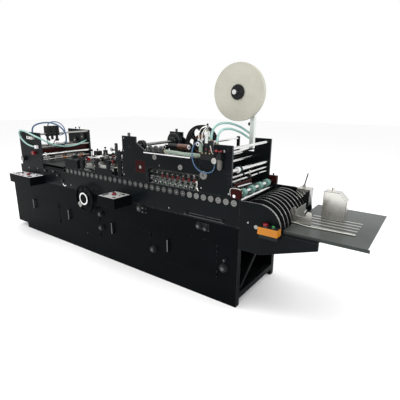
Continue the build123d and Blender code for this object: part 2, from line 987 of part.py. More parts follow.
# Splice plates inside the joints between side plates, towers, beams and delivery plates, and the
# brackets on the side plates for the gluing section's cross rods, the star knobs' bar, the cover box and
# the guide rod between the beams
star_bar_left = middle_tower_right + face_clearance
star_bar_right = tape_tower_left - face_clearance
with BuildPart() as section_brackets:
    for x in (feeder_tower_left + splice_length, feeder_tower_right - splice_length):
        for inner, side in ((plate_inner_front, 1), (plate_inner_back, -1)):
            slab(
                x - splice_length / 2,
                x + splice_length / 2,
                min(inner, inner + side * splice_thickness),
                max(inner, inner + side * splice_thickness),
                feeder_plate_top - splice_height,
                feeder_plate_top,
            )
    for x, z in (
        ((middle_tower_left + middle_tower_right) / 2, side_plate_top),
        ((tape_tower_left + tape_tower_right) / 2, side_plate_top),
        (middle_tower_right, (beam_bottom + beam_top) / 2),
        (tape_tower_left, (beam_bottom + beam_top) / 2),
    ):
        on_side_plate = z == side_plate_top
        low = roller_height + journal_radius + face_clearance if on_side_plate else z - splice_height / 2
        for inner, side in ((tower_inner_front, 1), (tower_inner_back, -1)):
            start = inner + side * (plate_thickness - tower_thickness) if on_side_plate else inner
            slab(
                x - splice_length / 2,
                x + splice_length / 2,
                min(start, start + side * splice_thickness),
                max(start, start + side * splice_thickness),
                low,
                z + splice_height / 2,
            )
    for inner, side in ((plate_inner_front, 1), (plate_inner_back, -1)):
        face = inner + side * splice_thickness
        x_from = right_x - splice_length / 2
        x_to = right_x + splice_length / 2
        slab(x_from, x_to, min(inner, face), max(inner, face), joint_bottom, joint_top)
        tower_inner = inner - side * (plate_thickness - tower_thickness)
        slab(right_x, x_to, min(tower_inner, inner), max(tower_inner, inner), joint_bottom, joint_top)
    for x, z, radius in section_rods:
        base = plate_top_at(x)
        for y_from, y_to in (
            (front_y, front_y + section_bracket_thickness),
            (plate_back_y - section_bracket_thickness, plate_back_y),
        ):
            slab(
                x - section_bracket_width / 2,
                x + section_bracket_width / 2,
                y_from,
                y_to,
                base,
                z + section_bracket_rise,
            )
        bore = radius + bore_clearance
        round_y(x, z, bore, front_y, plate_back_y, Mode.SUBTRACT)
    slab(
        star_bar_left,
        star_bar_right,
        star_bar_y - star_bar_depth,
        star_bar_y + star_bar_depth,
        star_knob_height - star_bar_height / 2,
        star_knob_height + star_bar_height / 2,
    )
    for x in (star_bar_left + star_foot_width / 2, star_bar_right - star_foot_width / 2):
        slab(
            x - star_foot_width / 2,
            x + star_foot_width / 2,
            front_y,
            star_bar_y - star_bar_depth,
            side_plate_top,
            star_knob_height + star_bar_height / 2,
        )
    slab(cover_left, cover_right, front_y, front_y + cover_depth, side_plate_top, cover_top)
    guide_x, guide_height, guide_radius = guide_rod
    for inner, side in ((tower_inner_front, 1), (tower_inner_back, -1)):
        post_near = inner + side * guide_post_gap
        post_far = post_near + side * guide_post_depth
        slab(
            guide_x - guide_post_width / 2,
            guide_x + guide_post_width / 2,
            min(inner, post_far),
            max(inner, post_far),
            guide_foot_bottom,
            guide_foot_top,
        )
        slab(
            guide_x - guide_post_width / 2,
            guide_x + guide_post_width / 2,
            min(post_near, post_far),
            max(post_near, post_far),
            guide_foot_bottom,
            guide_height + guide_post_rise,
        )
    bore = guide_radius + bore_clearance
    round_y(guide_x, guide_height, bore, front_y, plate_back_y, Mode.SUBTRACT)
section_brackets.part.label = "section_brackets"
export_step(section_brackets.part, "parts/section_brackets.step")

# Cross rods of the towers and of the gluing section, flush with the plates' outer faces, and the guide rod
with BuildPart() as tie_rods:
    for x, z, radius in feeder_rods + tape_rods + section_rods:
        round_y(x, z, radius, front_y, plate_back_y)
    round_y(guide_x, guide_height, guide_radius, front_y, guide_rod_back)
tie_rods.part.label = "tie_rods"
export_step(tie_rods.part, "parts/tie_rods.step")

# Feed table: a sheet whose side flanges are bolted to the feeder tower plates
with BuildPart() as feed_table:
    slab(
        feed_table_left,
        feed_table_right,
        tower_inner_front,
        tower_inner_back,
        feed_table_height - feed_table_sheet,
        feed_table_height,
    )
    for y_from, y_to in (
        (tower_inner_front, tower_inner_front + feed_table_sheet),
        (tower_inner_back - feed_table_sheet, tower_inner_back),
    ):
        flange_right = feeder_tower_right
        slab(
            feed_table_left,
            flange_right,
            y_from,
            y_to,
            feed_table_height - feed_table_flange,
            feed_table_height,
        )
feed_table.part.label = "feed_table"
export_step(feed_table.part, "parts/feed_table.step")

# Feed shaft with its rubber wheels; it turns in the feeder tower plates
with BuildPart() as feed_shaft:
    round_y(feed_shaft_x, feed_shaft_height, feed_shaft_radius, front_y, plate_back_y)
    for y in feed_wheel_stations:
        half = feed_wheel_width / 2
        round_y(feed_shaft_x, feed_shaft_height, feed_wheel_radius, y - half, y + half)
feed_shaft.part.label = "feed_shaft"
export_step(feed_shaft.part, "parts/feed_shaft.step")

# Sucker bar: a rocking shaft, an arm, a tube and a cup at each station
cup_x = sucker_shaft_x - sucker_arm_length
cup_bottom = sucker_shaft_height - sucker_drop
with BuildPart() as sucker_bar:
    round_y(sucker_shaft_x, sucker_shaft_height, sucker_shaft_radius, front_y, plate_back_y)
    for y in sucker_stations:
        half = sucker_arm_thickness / 2
        slab(
            cup_x - sucker_arm_thickness,
            sucker_shaft_x,
            y - half,
            y + half,
            sucker_shaft_height - sucker_arm_thickness,
            sucker_shaft_height + sucker_arm_thickness,
        )
        round_z(cup_x, y, sucker_tube_radius, cup_bottom + sucker_cup_height / 2, sucker_shaft_height)
        with Locations((cup_x, y, cup_bottom + sucker_cup_height / 2)):
            Cone(sucker_cup_radius, sucker_neck_radius, sucker_cup_height)
sucker_bar.part.label = "sucker_bar"
export_step(sucker_bar.part, "parts/sucker_bar.step")

# Side knob on the feeder, with a fluted grip
with BuildPart() as feeder_side_knob:
    round_y(side_knob_x, side_knob_height, side_knob_shaft, front_y - face_clearance, tower_inner_front)
    knob_back = front_y - face_clearance
    round_y(side_knob_x, side_knob_height, side_knob_radius, knob_back - side_knob_length, knob_back)
    with Locations(Location((side_knob_x, knob_back - side_knob_length / 2, side_knob_height), (90, 0, 0))):
        with PolarLocations(side_knob_radius, side_knob_flutes):
            Cylinder(side_knob_shaft / 2, side_knob_length, mode=Mode.SUBTRACT)
feeder_side_knob.part.label = "feeder_side_knob"
export_step(feeder_side_knob.part, "parts/feeder_side_knob.step")

# Feeder springs: coils round a cross rod, with a collar at each end
spring_rod_x, spring_rod_height, spring_rod_radius = feeder_rods[3]
spring_length = spring_turns * spring_pitch
coil_radius = spring_rod_radius + spring_wire + bore_clearance
with BuildPart() as one_spring:
    with BuildLine() as spring_path:
        spring_start = (spring_rod_x, -spring_length / 2, spring_rod_height)
        Helix(spring_pitch, spring_length, coil_radius, center=spring_start, direction=(0, 1, 0))
    with BuildSketch(Plane(origin=spring_path.line @ 0, z_dir=spring_path.line % 0)):
        RegularPolygon(spring_wire / 2, spring_wire_sides)
    sweep(is_frenet=True)
with BuildPart() as feeder_springs:
    for y in spring_stations:
        with Locations((0, y, 0)):
            add(one_spring.part)
        low = y - spring_length / 2 - spring_collar
        for start in (low, y + spring_length / 2):
            collar_place = (spring_rod_x, start + spring_collar / 2, spring_rod_height)
            with Locations(Location(collar_place, (90, 0, 0))):
                Cylinder(coil_radius + spring_wire, spring_collar)
                Cylinder(spring_rod_radius + bore_clearance, spring_collar, mode=Mode.SUBTRACT)
print("spring turns", spring_turns, "gap between turns", round(spring_pitch - spring_wire, 2))
feeder_springs.part.label = "feeder_springs"
export_step(feeder_springs.part, "parts/feeder_springs.step")

# Folding ploughs: bright bent strips along the paper path, hung under the cross rods
with BuildPart() as folding_ploughs:
    for y in plough_stations:
        half = plough_width / 2
        with BuildSketch(Plane.XZ.offset(-(y - half))):
            with BuildLine():
                Polyline(
                    (plough_left, plough_height + plough_rise),
                    (plough_left + plough_rise, plough_height),
                    (plough_right - plough_rise, plough_height),
                    (plough_right, plough_height + plough_rise),
                    (plough_right, plough_height + plough_rise - plough_sheet),
                    (plough_right - plough_rise, plough_height - plough_sheet),
                    (plough_left + plough_rise, plough_height - plough_sheet),
                    (plough_left, plough_height + plough_rise - plough_sheet),
                    close=True,
                )
            make_face()
        extrude(amount=-plough_width)
        for x, z, radius in section_rods:
            slab(
                x - plough_lug / 2,
                x + plough_lug / 2,
                y - plough_lug / 2,
                y + plough_lug / 2,
                plough_height - plough_sheet,
                z,
            )
            slab(
                x - radius - plough_lug / 2,
                x + radius + plough_lug / 2,
                y - plough_lug / 2,
                y + plough_lug / 2,
                z - radius - plough_lug / 2,
                z + radius + plough_lug / 2,
            )
    for x, z, radius in section_rods:
        round_y(x, z, radius + bore_clearance, front_y, plate_back_y, Mode.SUBTRACT)
folding_ploughs.part.label = "folding_ploughs"
export_step(folding_ploughs.part, "parts/folding_ploughs.step")

# Glue trough: an open box on the raised part of the side plates, with its rim flanges
with BuildPart() as glue_trough:
    trough_front = front_y + section_bracket_thickness + face_clearance
    trough_back = plate_back_y - section_bracket_thickness - face_clearance
    slab(
        glue_trough_left,
        glue_trough_right,
        trough_front,
        trough_back,
        raised_plate_top,
        glue_trough_top + trough_foot,
    )
    slab(
        glue_trough_left + glue_trough_wall,
        glue_trough_right - glue_trough_wall,
        trough_front + glue_trough_wall,
        trough_back - glue_trough_wall,
        raised_plate_top + glue_trough_wall,
        glue_trough_top + trough_foot,
        Mode.SUBTRACT,
    )
glue_trough.part.label = "glue_trough"
export_step(glue_trough.part, "parts/glue_trough.step")

# Red clamps on the cross rods, and the bar of red star knobs below the front beam
rod_height_at = {x: (z, radius) for x, z, radius in section_rods}
with BuildPart() as red_clamps:
    for x, y in clamp_stations:
        z, radius = rod_height_at[x]
        half = clamp_size / 2
        slab(x - half, x + half, y - half, y + half, z - half, z + half)
        round_y(x, z, radius + bore_clearance, y - half, y + half, Mode.SUBTRACT)
        round_z(x, y, clamp_knob_radius, z + half, z + half + clamp_knob_height)
    for number in range(star_knob_stations):
        x = star_knob_left + number * star_knob_pitch
        knob_top = star_knob_height + star_bar_height / 2 + star_knob_length
        round_z(x, star_bar_y, star_knob_radius, star_knob_height + star_bar_height / 2, knob_top)
red_clamps.part.label = "red_clamps"
export_step(red_clamps.part, "parts/red_clamps.step")

# Crease shaft in the middle tower's plates, with a flanged wheel at the back and a small one in front
with BuildPart() as crease_shaft:
    round_y(crease_shaft_x, crease_shaft_height, crease_shaft_radius, front_y, plate_back_y)
    big_front = big_wheel_y - big_wheel_width / 2
    big_back = big_wheel_y + big_wheel_width / 2
    flange = big_wheel_width / 4
    round_y(crease_shaft_x, crease_shaft_height, big_wheel_radius, big_front, big_back)
    round_y(crease_shaft_x, crease_shaft_height, big_wheel_flange, big_back - flange, big_back)
    hub_front = big_front - big_wheel_width
    round_y(crease_shaft_x, crease_shaft_height, big_wheel_radius / 2, hub_front, big_front)
    small_front = small_wheel_y - small_wheel_width / 2
    small_back = small_wheel_y + small_wheel_width / 2
    round_y(crease_shaft_x, crease_shaft_height, small_wheel_radius, small_front, small_back)
crease_shaft.part.label = "crease_shaft"
export_step(crease_shaft.part, "parts/crease_shaft.step")

# Press roller, its journals in the blocks that fill the middle tower's windows
with BuildPart() as press_roller:
    round_y(window_middle_x, press_roller_height, press_roller_journal, front_y, plate_back_y)
    roll_from = tower_inner_front + roller_end_gap
    roll_to = tower_inner_back - roller_end_gap
    round_y(window_middle_x, press_roller_height, press_roller_radius, roll_from, roll_to)
press_roller.part.label = "press_roller"
export_step(press_roller.part, "parts/press_roller.step")

# Adjusting screws on top of the middle tower, front and back
for name, y in (
    ("front_adjusting_screw", front_y + tower_thickness / 2),
    ("back_adjusting_screw", plate_back_y - tower_thickness / 2),
):
    with BuildPart() as adjusting_screw:
        screw_low = middle_tower_top - screw_depth + face_clearance
        knob_low = middle_tower_top + face_clearance
        round_z(neck_middle_x, y, screw_radius, screw_low, knob_low)
        round_z(neck_middle_x, y, screw_knob_radius, knob_low, knob_low + screw_knob_height)
        with Locations((neck_middle_x, y, knob_low + screw_knob_height / 2)):
            with PolarLocations(screw_knob_radius, screw_knob_flutes):
                Cylinder(screw_radius / 2, screw_knob_height, mode=Mode.SUBTRACT)
    adjusting_screw.part.label = name
    export_step(adjusting_screw.part, f"parts/{name}.step")

# Maroon bearing blocks: two on the side plates, with a screw on top, and two in the middle tower's windows
exit_upper_height = roller_height + exit_roller_radius + exit_ring_radius + face_clearance
block_margin = (block_thickness - plate_thickness) / 2
front_block = (front_y - block_margin, plate_inner_front + block_margin)
back_block = (plate_inner_back - block_margin, plate_back_y + block_margin)
with BuildPart() as bearing_blocks:
    for y_from, y_to in (front_block, back_block):
        slab(block_left, block_right, y_from, y_to, side_plate_top, block_top)
    bore = journal_radius + bore_clearance
    round_y(last_roller_x, exit_upper_height, bore, front_block[0], back_block[1], Mode.SUBTRACT)
    block_middle = (block_left + block_right) / 2
    for y_from, y_to in (front_block, back_block):
        middle = (y_from + y_to) / 2
        round_z(block_middle, middle, block_screw_radius, block_top, block_top + block_screw_height)
    for y_from, y_to in ((front_y, tower_inner_front), (tower_inner_back, plate_back_y)):
        slab(
            window_left,
            window_right,
            y_from + face_clearance,
            y_to - face_clearance,
            window_bottom,
            window_top,
        )
    bore = press_roller_journal + bore_clearance
    round_y(window_middle_x, press_roller_height, bore, front_y, plate_back_y, Mode.SUBTRACT)
bearing_blocks.part.label = "bearing_blocks"
export_step(bearing_blocks.part, "parts/bearing_blocks.step")

# Exit rollers: a bright one in the last roller station and one with rubber rings above it
with BuildPart() as exit_lower_roller:
    round_y(last_roller_x, roller_height, exit_roller_radius, roller_front, roller_back)
    round_y(last_roller_x, roller_height, journal_radius, front_y, plate_back_y)
exit_lower_roller.part.label = "exit_lower_roller"
export_step(exit_lower_roller.part, "parts/exit_lower_roller.step")

with BuildPart() as exit_upper_roller:
    round_y(last_roller_x, exit_upper_height, exit_core_radius, roller_front, roller_back)
    round_y(last_roller_x, exit_upper_height, journal_radius, front_block[0], back_block[1])
    for y in exit_ring_stations:
        half = exit_ring_width / 2
        round_y(last_roller_x, exit_upper_height, exit_ring_radius, y - half, y + half)
exit_upper_roller.part.label = "exit_upper_roller"
export_step(exit_upper_roller.part, "parts/exit_upper_roller.step")


# Delivery side plates: a quarter-round end and an arm below the table, joined by two cross bars
delivery_arc_end = delivery_arc_x + delivery_arc_radius
delivery_bores = [(disc_shaft_x, disc_shaft_height, disc_shaft_radius + bore_clearance)]
with BuildPart() as delivery_side_plates:
    for outer_y, amount in ((front_y, -tower_thickness), (plate_back_y, tower_thickness)):
        with BuildSketch(Plane.XZ.offset(-outer_y)):
            with BuildLine():
                top_edge = Line((right_x, delivery_top), (delivery_arc_x, delivery_top))
                round_end = CenterArc((delivery_arc_x, delivery_arc_height), delivery_arc_radius, 90, -90)
                Polyline(
                    round_end @ 1,
                    (delivery_arc_end, arm_top),
                    (arm_end_x, arm_top),
                    (arm_end_x, arm_end_bottom),
                    (delivery_bottom_x, delivery_bottom),
                    (right_x, delivery_bottom),
                    top_edge @ 0,
                )
            make_face()
            for x, z, radius in delivery_bores:
                with Locations((x, z)):
                    Circle(radius, mode=Mode.SUBTRACT)
        extrude(amount=amount)
    for x in support_stations:
        x_from = x - support_width / 2
        x_to = x + support_width / 2
        slab(x_from, x_to, tower_inner_front, tower_inner_back, support_bottom, arm_top)
        slab(
            x_from,
            x_to,
            table_front + table_sheet + riser_gap,
            tower_inner_back,
            arm_top,
            table_top - table_sheet,
        )
delivery_side_plates.part.label = "delivery_side_plates"
export_step(delivery_side_plates.part, "parts/delivery_side_plates.step")

# Delivery discs on their shaft; curved pockets, open at each disc's rim, catch the envelopes
pocket_inner = disc_radius * disc_pocket_share
pocket_turn = radians(disc_pocket_turn)
with BuildPart() as one_disc:
    with BuildSketch(Plane.XZ):
        with Locations((disc_shaft_x, disc_shaft_height)):
            Circle(disc_radius)
    extrude(amount=-disc_thickness)
    with BuildSketch(Plane.XZ):
        with Locations((disc_shaft_x, disc_shaft_height)):
            with PolarLocations(0, disc_slot_count):
                with BuildLine():
                    entry = (disc_radius + disc_slot_width, 0)
                    lip = (disc_radius + disc_slot_width, disc_slot_width)
                    middle_turn = pocket_turn * disc_pocket_bend
                    middle_reach = (pocket_inner + disc_radius) / 2
                    end = (pocket_inner * cos(pocket_turn), pocket_inner * sin(pocket_turn))
                    ThreePointArc(
                        lip,
                        (
                            (middle_reach + disc_slot_width) * cos(middle_turn),
                            (middle_reach + disc_slot_width) * sin(middle_turn),
                        ),
                        end,
                    )
                    ThreePointArc(
                        entry,
                        (middle_reach * cos(middle_turn), middle_reach * sin(middle_turn)),
                        end,
                    )
                    Line(entry, lip)
                make_face()
    extrude(amount=-disc_thickness, mode=Mode.SUBTRACT)
    hub_from = -(disc_hub_width - disc_thickness) / 2
    round_y(disc_shaft_x, disc_shaft_height, disc_hub_radius, hub_from, hub_from + disc_hub_width)
with BuildPart() as delivery_discs:
    round_y(disc_shaft_x, disc_shaft_height, disc_shaft_radius, front_y, plate_back_y)
    with Locations([(0, disc_first_y + number * disc_pitch, 0) for number in range(disc_count)]):
        add(one_disc.part)
delivery_discs.part.label = "delivery_discs"
export_step(delivery_discs.part, "parts/delivery_discs.step")

# Delivery table: a sheet folded down at its edges, with bright rails that guide the back stop
with BuildPart() as delivery_table:
    slab(table_left, table_right, table_front, table_back, table_top - table_sheet, table_top)
    lip_bottom = table_top - table_lip
    end_lip_bottom = table_top - table_end_lip
    for y_from, y_to in (
        (table_front, table_front + table_sheet),
        (table_back - table_sheet, table_back),
    ):
        slab(table_left, table_right, y_from, y_to, lip_bottom, table_top)
    slab(table_left, table_left + table_sheet, table_front, table_back, lip_bottom, table_top)
    slab(table_right - table_sheet, table_right, table_front, table_back, end_lip_bottom, table_top)
    rail_x = (table_rail_left + table_rail_right) / 2
    with Locations((rail_x, table_rail_middle, table_top + table_rail_height / 2)):
        with GridLocations(table_rail_pitch, table_rail_pitch, 1, table_rail_count):
            Box(table_rail_right - table_rail_left, table_rail_width, table_rail_height)
delivery_table.part.label = "delivery_table"
export_step(delivery_table.part, "parts/delivery_table.step")

# Back stop: a folded steel hood with one corner cut off and a knob on top; it slides along the rails
stop_bottom = table_top + table_rail_height
stop_right = stop_left + stop_length
stop_back = stop_front + stop_depth
with BuildPart() as back_stop:
    with BuildSketch(Plane.XZ.offset(-stop_front)):
        with BuildLine():
            Polyline(
                (stop_left, stop_bottom),
                (stop_right, stop_bottom),
                (stop_right, stop_bottom + stop_height - stop_chamfer),
                (stop_right - stop_chamfer, stop_bottom + stop_height),
                (stop_left, stop_bottom + stop_height),
                close=True,
            )
        make_face()
    extrude(amount=-stop_depth)
    bottom_face = back_stop.faces().sort_by(Axis.Z)[0]
    offset(amount=-stop_wall, openings=bottom_face)
    knob_x = stop_left + stop_length / 3
    knob_y = (stop_front + stop_back) / 2
    knob_low = stop_bottom + stop_height
    round_z(knob_x, knob_y, stop_knob_radius, knob_low, knob_low + stop_knob_height)
back_stop.part.label = "back_stop"
export_step(back_stop.part, "parts/back_stop.step")

# Stacker plate: one wall across the table, one along it, and a round-topped tab
with BuildPart() as stacker_plate:
    stacker_top = table_top + stacker_height
    stacker_back = stacker_front + stacker_depth
    slab(stacker_left, stacker_left + stacker_sheet, stacker_front, stacker_back, table_top, stacker_top)
    slab(
        stacker_left,
        stacker_left + stacker_length,
        stacker_front,
        stacker_front + stacker_sheet,
        table_top,
        table_top + stacker_height * stacker_side_share,
    )
    tab_x = stacker_left + stacker_length - stacker_tab_width / 2
    tab_height = stacker_height * stacker_tab_share
    with BuildSketch(Plane.XZ.offset(-stacker_front)):
        with Locations((tab_x, table_top + tab_height / 2)):
            Rectangle(stacker_tab_width, tab_height)
        with Locations((tab_x, table_top + tab_height)):
            Circle(stacker_tab_width / 2)
    extrude(amount=-stacker_sheet)
stacker_plate.part.label = "stacker_plate"
export_step(stacker_plate.part, "parts/stacker_plate.step")

# Separator box on a bracket from the back delivery plate, with two ears for its lever
separator_back = separator_front + separator_depth
separator_right = separator_left + separator_width
lever_x = separator_left + separator_width * lever_place_share
lever_y = separator_front + separator_depth / 2
lever_pivot_height = separator_top + lever_pivot_rise
ear_gap = lever_boss_width / 2 + face_clearance
with BuildPart() as separator_box:
    slab(separator_left, separator_right, separator_front, separator_back, separator_bottom, separator_top)
    slab(
        separator_left,
        separator_left + separator_width / 2,
        separator_back,
        tower_inner_back,
        separator_bottom,
        separator_bottom + separator_width / 3,
    )
    for side in (-1, 1):
        ear_inner = lever_y + side * ear_gap
        ear_outer = ear_inner + side * lever_ear_thickness
        slab(
            lever_x - lever_boss_radius,
            lever_x + lever_boss_radius,
            min(ear_inner, ear_outer),
            max(ear_inner, ear_outer),
            separator_top,
            lever_pivot_height + lever_boss_radius,
        )
    ear_reach = ear_gap + lever_ear_thickness
    pin_from = lever_y - ear_reach
    pin_to = lever_y + ear_reach
    round_y(lever_x, lever_pivot_height, lever_pin_radius, pin_from, pin_to)
separator_box.part.label = "separator_box"
export_step(separator_box.part, "parts/separator_box.step")

with BuildPart() as separator_lever:
    half = lever_boss_width / 2
    round_y(lever_x, lever_pivot_height, lever_boss_radius, lever_y - half, lever_y + half)
    with Locations(Location((lever_x, lever_y, lever_pivot_height), (0, lever_lean, 0))):
        Cylinder(lever_radius, lever_length, align=(Align.CENTER, Align.CENTER, Align.MIN))
    bore = lever_pin_radius + bore_clearance
    round_y(lever_x, lever_pivot_height, bore, lever_y - half, lever_y + half, Mode.SUBTRACT)
separator_lever.part.label = "separator_lever"
export_step(separator_lever.part, "parts/separator_lever.step")

# Tape post: it is clamped on the top cross rod and carries the arm and the roll's spindle
roll_back = roll_front + roll_width
arm_front_y = roll_back + core_overhang + core_gap
arm_back_y = arm_front_y + arm_bar_thickness
with BuildPart() as tape_post:
    arm_left = roll_x - post_width / 2
    arm_low = roll_height - arm_bar_height / 2
    arm_high = roll_height + arm_bar_height / 2
    slab(arm_left, arm_bar_right, arm_front_y, arm_back_y, arm_low, arm_high)
    slab(
        post_x - post_width / 2,
        post_x + post_width / 2,
        arm_back_y,
        arm_back_y + post_depth,
        post_bottom,
        arm_high,
    )
    for x, z, radius in tape_rods[:1]:
        round_y(x, z, radius + bore_clearance, front_y, plate_back_y, Mode.SUBTRACT)
    nose_front = roll_front - spindle_nose
    nose_back = roll_front - core_overhang - core_gap
    round_y(roll_x, roll_height, spindle_radius, nose_front, arm_front_y)
    round_y(roll_x, roll_height, spindle_nose_radius, nose_front, nose_back)
tape_post.part.label = "tape_post"
export_step(tape_post.part, "parts/tape_post.step")

# Tape roll on its flanged core
with BuildPart() as tape_roll:
    round_y(roll_x, roll_height, roll_radius, roll_front, roll_back)
    round_y(roll_x, roll_height, core_radius + bore_clearance, roll_front, roll_back, Mode.SUBTRACT)
    circles = tape_roll.edges().filter_by(GeomType.CIRCLE)
    fillet(circles.filter_by(lambda edge: edge.radius > core_flange_radius), roll_edge_rounding)
tape_roll.part.label = "tape_roll"
export_step(tape_roll.part, "parts/tape_roll.step")

with BuildPart() as roll_hub:
    round_y(roll_x, roll_height, core_radius, roll_front, roll_back)
    for y_from, y_to in ((roll_front - core_overhang, roll_front), (roll_back, roll_back + core_overhang)):
        round_y(roll_x, roll_height, core_flange_radius, y_from, y_to)
    bore = spindle_radius + bore_clearance
    hub_front = roll_front - core_overhang
    round_y(roll_x, roll_height, bore, hub_front, roll_back + core_overhang, Mode.SUBTRACT)
roll_hub.part.label = "roll_hub"
export_step(roll_hub.part, "parts/roll_hub.step")

# Liner rewind reel: two windowed flanges on a core
with BuildPart() as rewind_reel:
    reel_from = reel_y - reel_width / 2
    reel_to = reel_y + reel_width / 2
    window_reach = reel_radius - reel_rim
    window_size = (window_reach - reel_core_radius) / 2 - reel_rim / 2
    window_place = (window_reach + reel_core_radius) / 2
    round_y(reel_x, reel_height, reel_core_radius, reel_from, reel_to)
    for y_from, y_to in ((reel_from, reel_from + reel_flange), (reel_to - reel_flange, reel_to)):
        round_y(reel_x, reel_height, reel_radius, y_from, y_to)
    with Locations(Location((reel_x, reel_y, reel_height), (90, 0, 0))):
        with PolarLocations(window_place, reel_windows):
            Cylinder(window_size, reel_width, mode=Mode.SUBTRACT)
    bore = reel_spindle_radius + bore_clearance
    round_y(reel_x, reel_height, bore, reel_from, reel_to, Mode.SUBTRACT)
rewind_reel.part.label = "rewind_reel"
export_step(rewind_reel.part, "parts/rewind_reel.step")


# Consoles: open-topped boxes on the front, each closed by a panel with bored button places
def button_bores(stations, surface, depth):
    """Bores for button stems through a panel's top surface."""
    for x, y in stations:
        round_z(x, y, button_stem_radius + bore_clearance, surface - depth, surface, Mode.SUBTRACT)


left_stop_place = (
    left_console_left + left_console_length * left_stop_shares[0],
    front_y - left_console_depth * left_stop_shares[1],
)
left_push_place = (
    left_console_left + left_console_length * left_push_shares[0],
    front_y - left_console_depth * left_push_shares[1],
)
middle_stop_place = (
    middle_console_left + middle_console_length / 2,
    front_y - middle_console_depth / 2,
)
middle_push_place = (
    middle_console_left + middle_console_length * middle_push_shares[0],
    front_y - middle_console_depth * middle_push_shares[1],
)
console_sizes = (
    (left_console_left, left_console_length, left_console_depth),
    (middle_console_left, middle_console_length, middle_console_depth),
)
with BuildPart() as consoles:
    for left, length, depth in console_sizes:
        slab(left, left + length, front_y - depth, front_y, console_top - console_height, console_top)
        slab(
            left + console_wall,
            left + length - console_wall,
            front_y - depth + console_wall,
            front_y - console_wall,
            console_top - console_height + console_wall,
            console_top - console_panel,
            Mode.SUBTRACT,
        )
    places = (left_stop_place, left_push_place, middle_stop_place, middle_push_place)
    button_bores(places, console_top, console_panel)
consoles.part.label = "consoles"
export_step(consoles.part, "parts/consoles.step")

# Orange button box on the front delivery plate, with the bracket below it
box_top = box_bottom + box_height
box_middle_y = front_y - box_depth / 2
box_stop_place = (box_left + box_length * box_stop_share, box_middle_y)
box_start_place = (box_left + box_length * box_start_share, box_middle_y)
with BuildPart() as button_box:
    slab(box_left, box_left + box_length, front_y - box_depth, front_y, box_bottom, box_top)
    slab(
        box_left + console_wall,
        box_left + box_length - console_wall,
        front_y - box_depth + console_wall,
        front_y - console_wall,
        box_bottom + console_wall,
        box_top - console_wall,
        Mode.SUBTRACT,
    )
    button_bores((box_stop_place, box_start_place), box_top, console_wall)
    slab(
        box_left + console_panel,
        box_left + box_length - console_panel,
        front_y - box_bracket_depth,
        front_y,
        box_bottom - box_bracket_height,
        box_bottom,
    )
button_box.part.label = "button_box"
export_step(button_box.part, "parts/button_box.step")

# Push buttons, each with a stem in its bore
for name, place, surface, radius, height in (
    ("left_stop_button", left_stop_place, console_top, stop_button_radius, stop_button_height),
    ("left_push_button", left_push_place, console_top, push_button_radius, push_button_height),
    ("middle_stop_button", middle_stop_place, console_top, stop_button_radius, stop_button_height),
    ("middle_push_button", middle_push_place, console_top, push_button_radius, push_button_height),
    ("box_stop_button", box_stop_place, box_top, stop_button_radius, stop_button_height),
    ("box_start_button", box_start_place, box_top, push_button_radius, push_button_height),
):
    x, y = place
    with BuildPart() as button:
        cap_low = surface + button_gap
        round_z(x, y, button_stem_radius, cap_low - button_stem_length, cap_low)
        round_z(x, y, radius, cap_low, cap_low + height)
        fillet(button.faces().sort_by(Axis.Z)[-1].edges(), height / 3)
    button.part.label = name
    export_step(button.part, f"parts/{name}.step")

# Handwheel: rim, three spokes, ring, hub, and its shaft into the gearbox
with BuildPart() as handwheel:
    rim_back = wheel_rim_y + wheel_rim_depth
    spoke_front = wheel_rim_y + (wheel_rim_depth - wheel_spoke_thickness) / 2
    round_y(wheel_x, wheel_height, wheel_radius, wheel_rim_y, rim_back)
    round_y(wheel_x, wheel_height, wheel_radius - wheel_rim, wheel_rim_y, rim_back, Mode.SUBTRACT)
    fillet(handwheel.edges().filter_by(GeomType.CIRCLE), wheel_rim_rounding)
    spoke_length = wheel_radius - wheel_rim / 2
    spoke_y = spoke_front + wheel_spoke_thickness / 2
    with Locations(Location((wheel_x, spoke_y, wheel_height), (90, 0, 0))):
        with PolarLocations(spoke_length / 2, wheel_spoke_count, start_angle=wheel_spoke_angle):
            Box(spoke_length, wheel_spoke_width, wheel_spoke_thickness)
    round_y(wheel_x, wheel_height, wheel_hub_radius, wheel_rim_y, wheel_rim_y + wheel_hub_length)
    ring_front = spoke_front - wheel_ring_thickness
    with BuildSketch(Plane.XZ.offset(-ring_front)):
        with Locations((wheel_x, wheel_height)):
            Circle(wheel_ring_radius)
            Circle(wheel_ring_bore, mode=Mode.SUBTRACT)
    extrude(amount=-wheel_ring_thickness)
    shaft_end_y = gearbox_front_y + wheel_shaft_grip
    round_y(wheel_x, wheel_height, wheel_shaft_radius, wheel_rim_y, shaft_end_y)
handwheel.part.label = "handwheel"
export_step(handwheel.part, "parts/handwheel.step")

# Fittings on the front panel: the handwheel's flange and the black knobs with bright ends
with BuildPart() as panel_fittings:
    flange_front = front_y - wheel_flange_thickness
    round_y(wheel_x, wheel_height, wheel_flange_radius, flange_front, front_y)
    bore = wheel_shaft_radius + bore_clearance
    round_y(wheel_x, wheel_height, bore, flange_front, front_y, Mode.SUBTRACT)
    for x, z, radius in knob_stations:
        round_y(x, z, radius, front_y - knob_length, front_y)
        round_y(x, z, radius / 2, front_y - knob_length - knob_end, front_y - knob_length)
panel_fittings.part.label = "panel_fittings"
export_step(panel_fittings.part, "parts/panel_fittings.step")

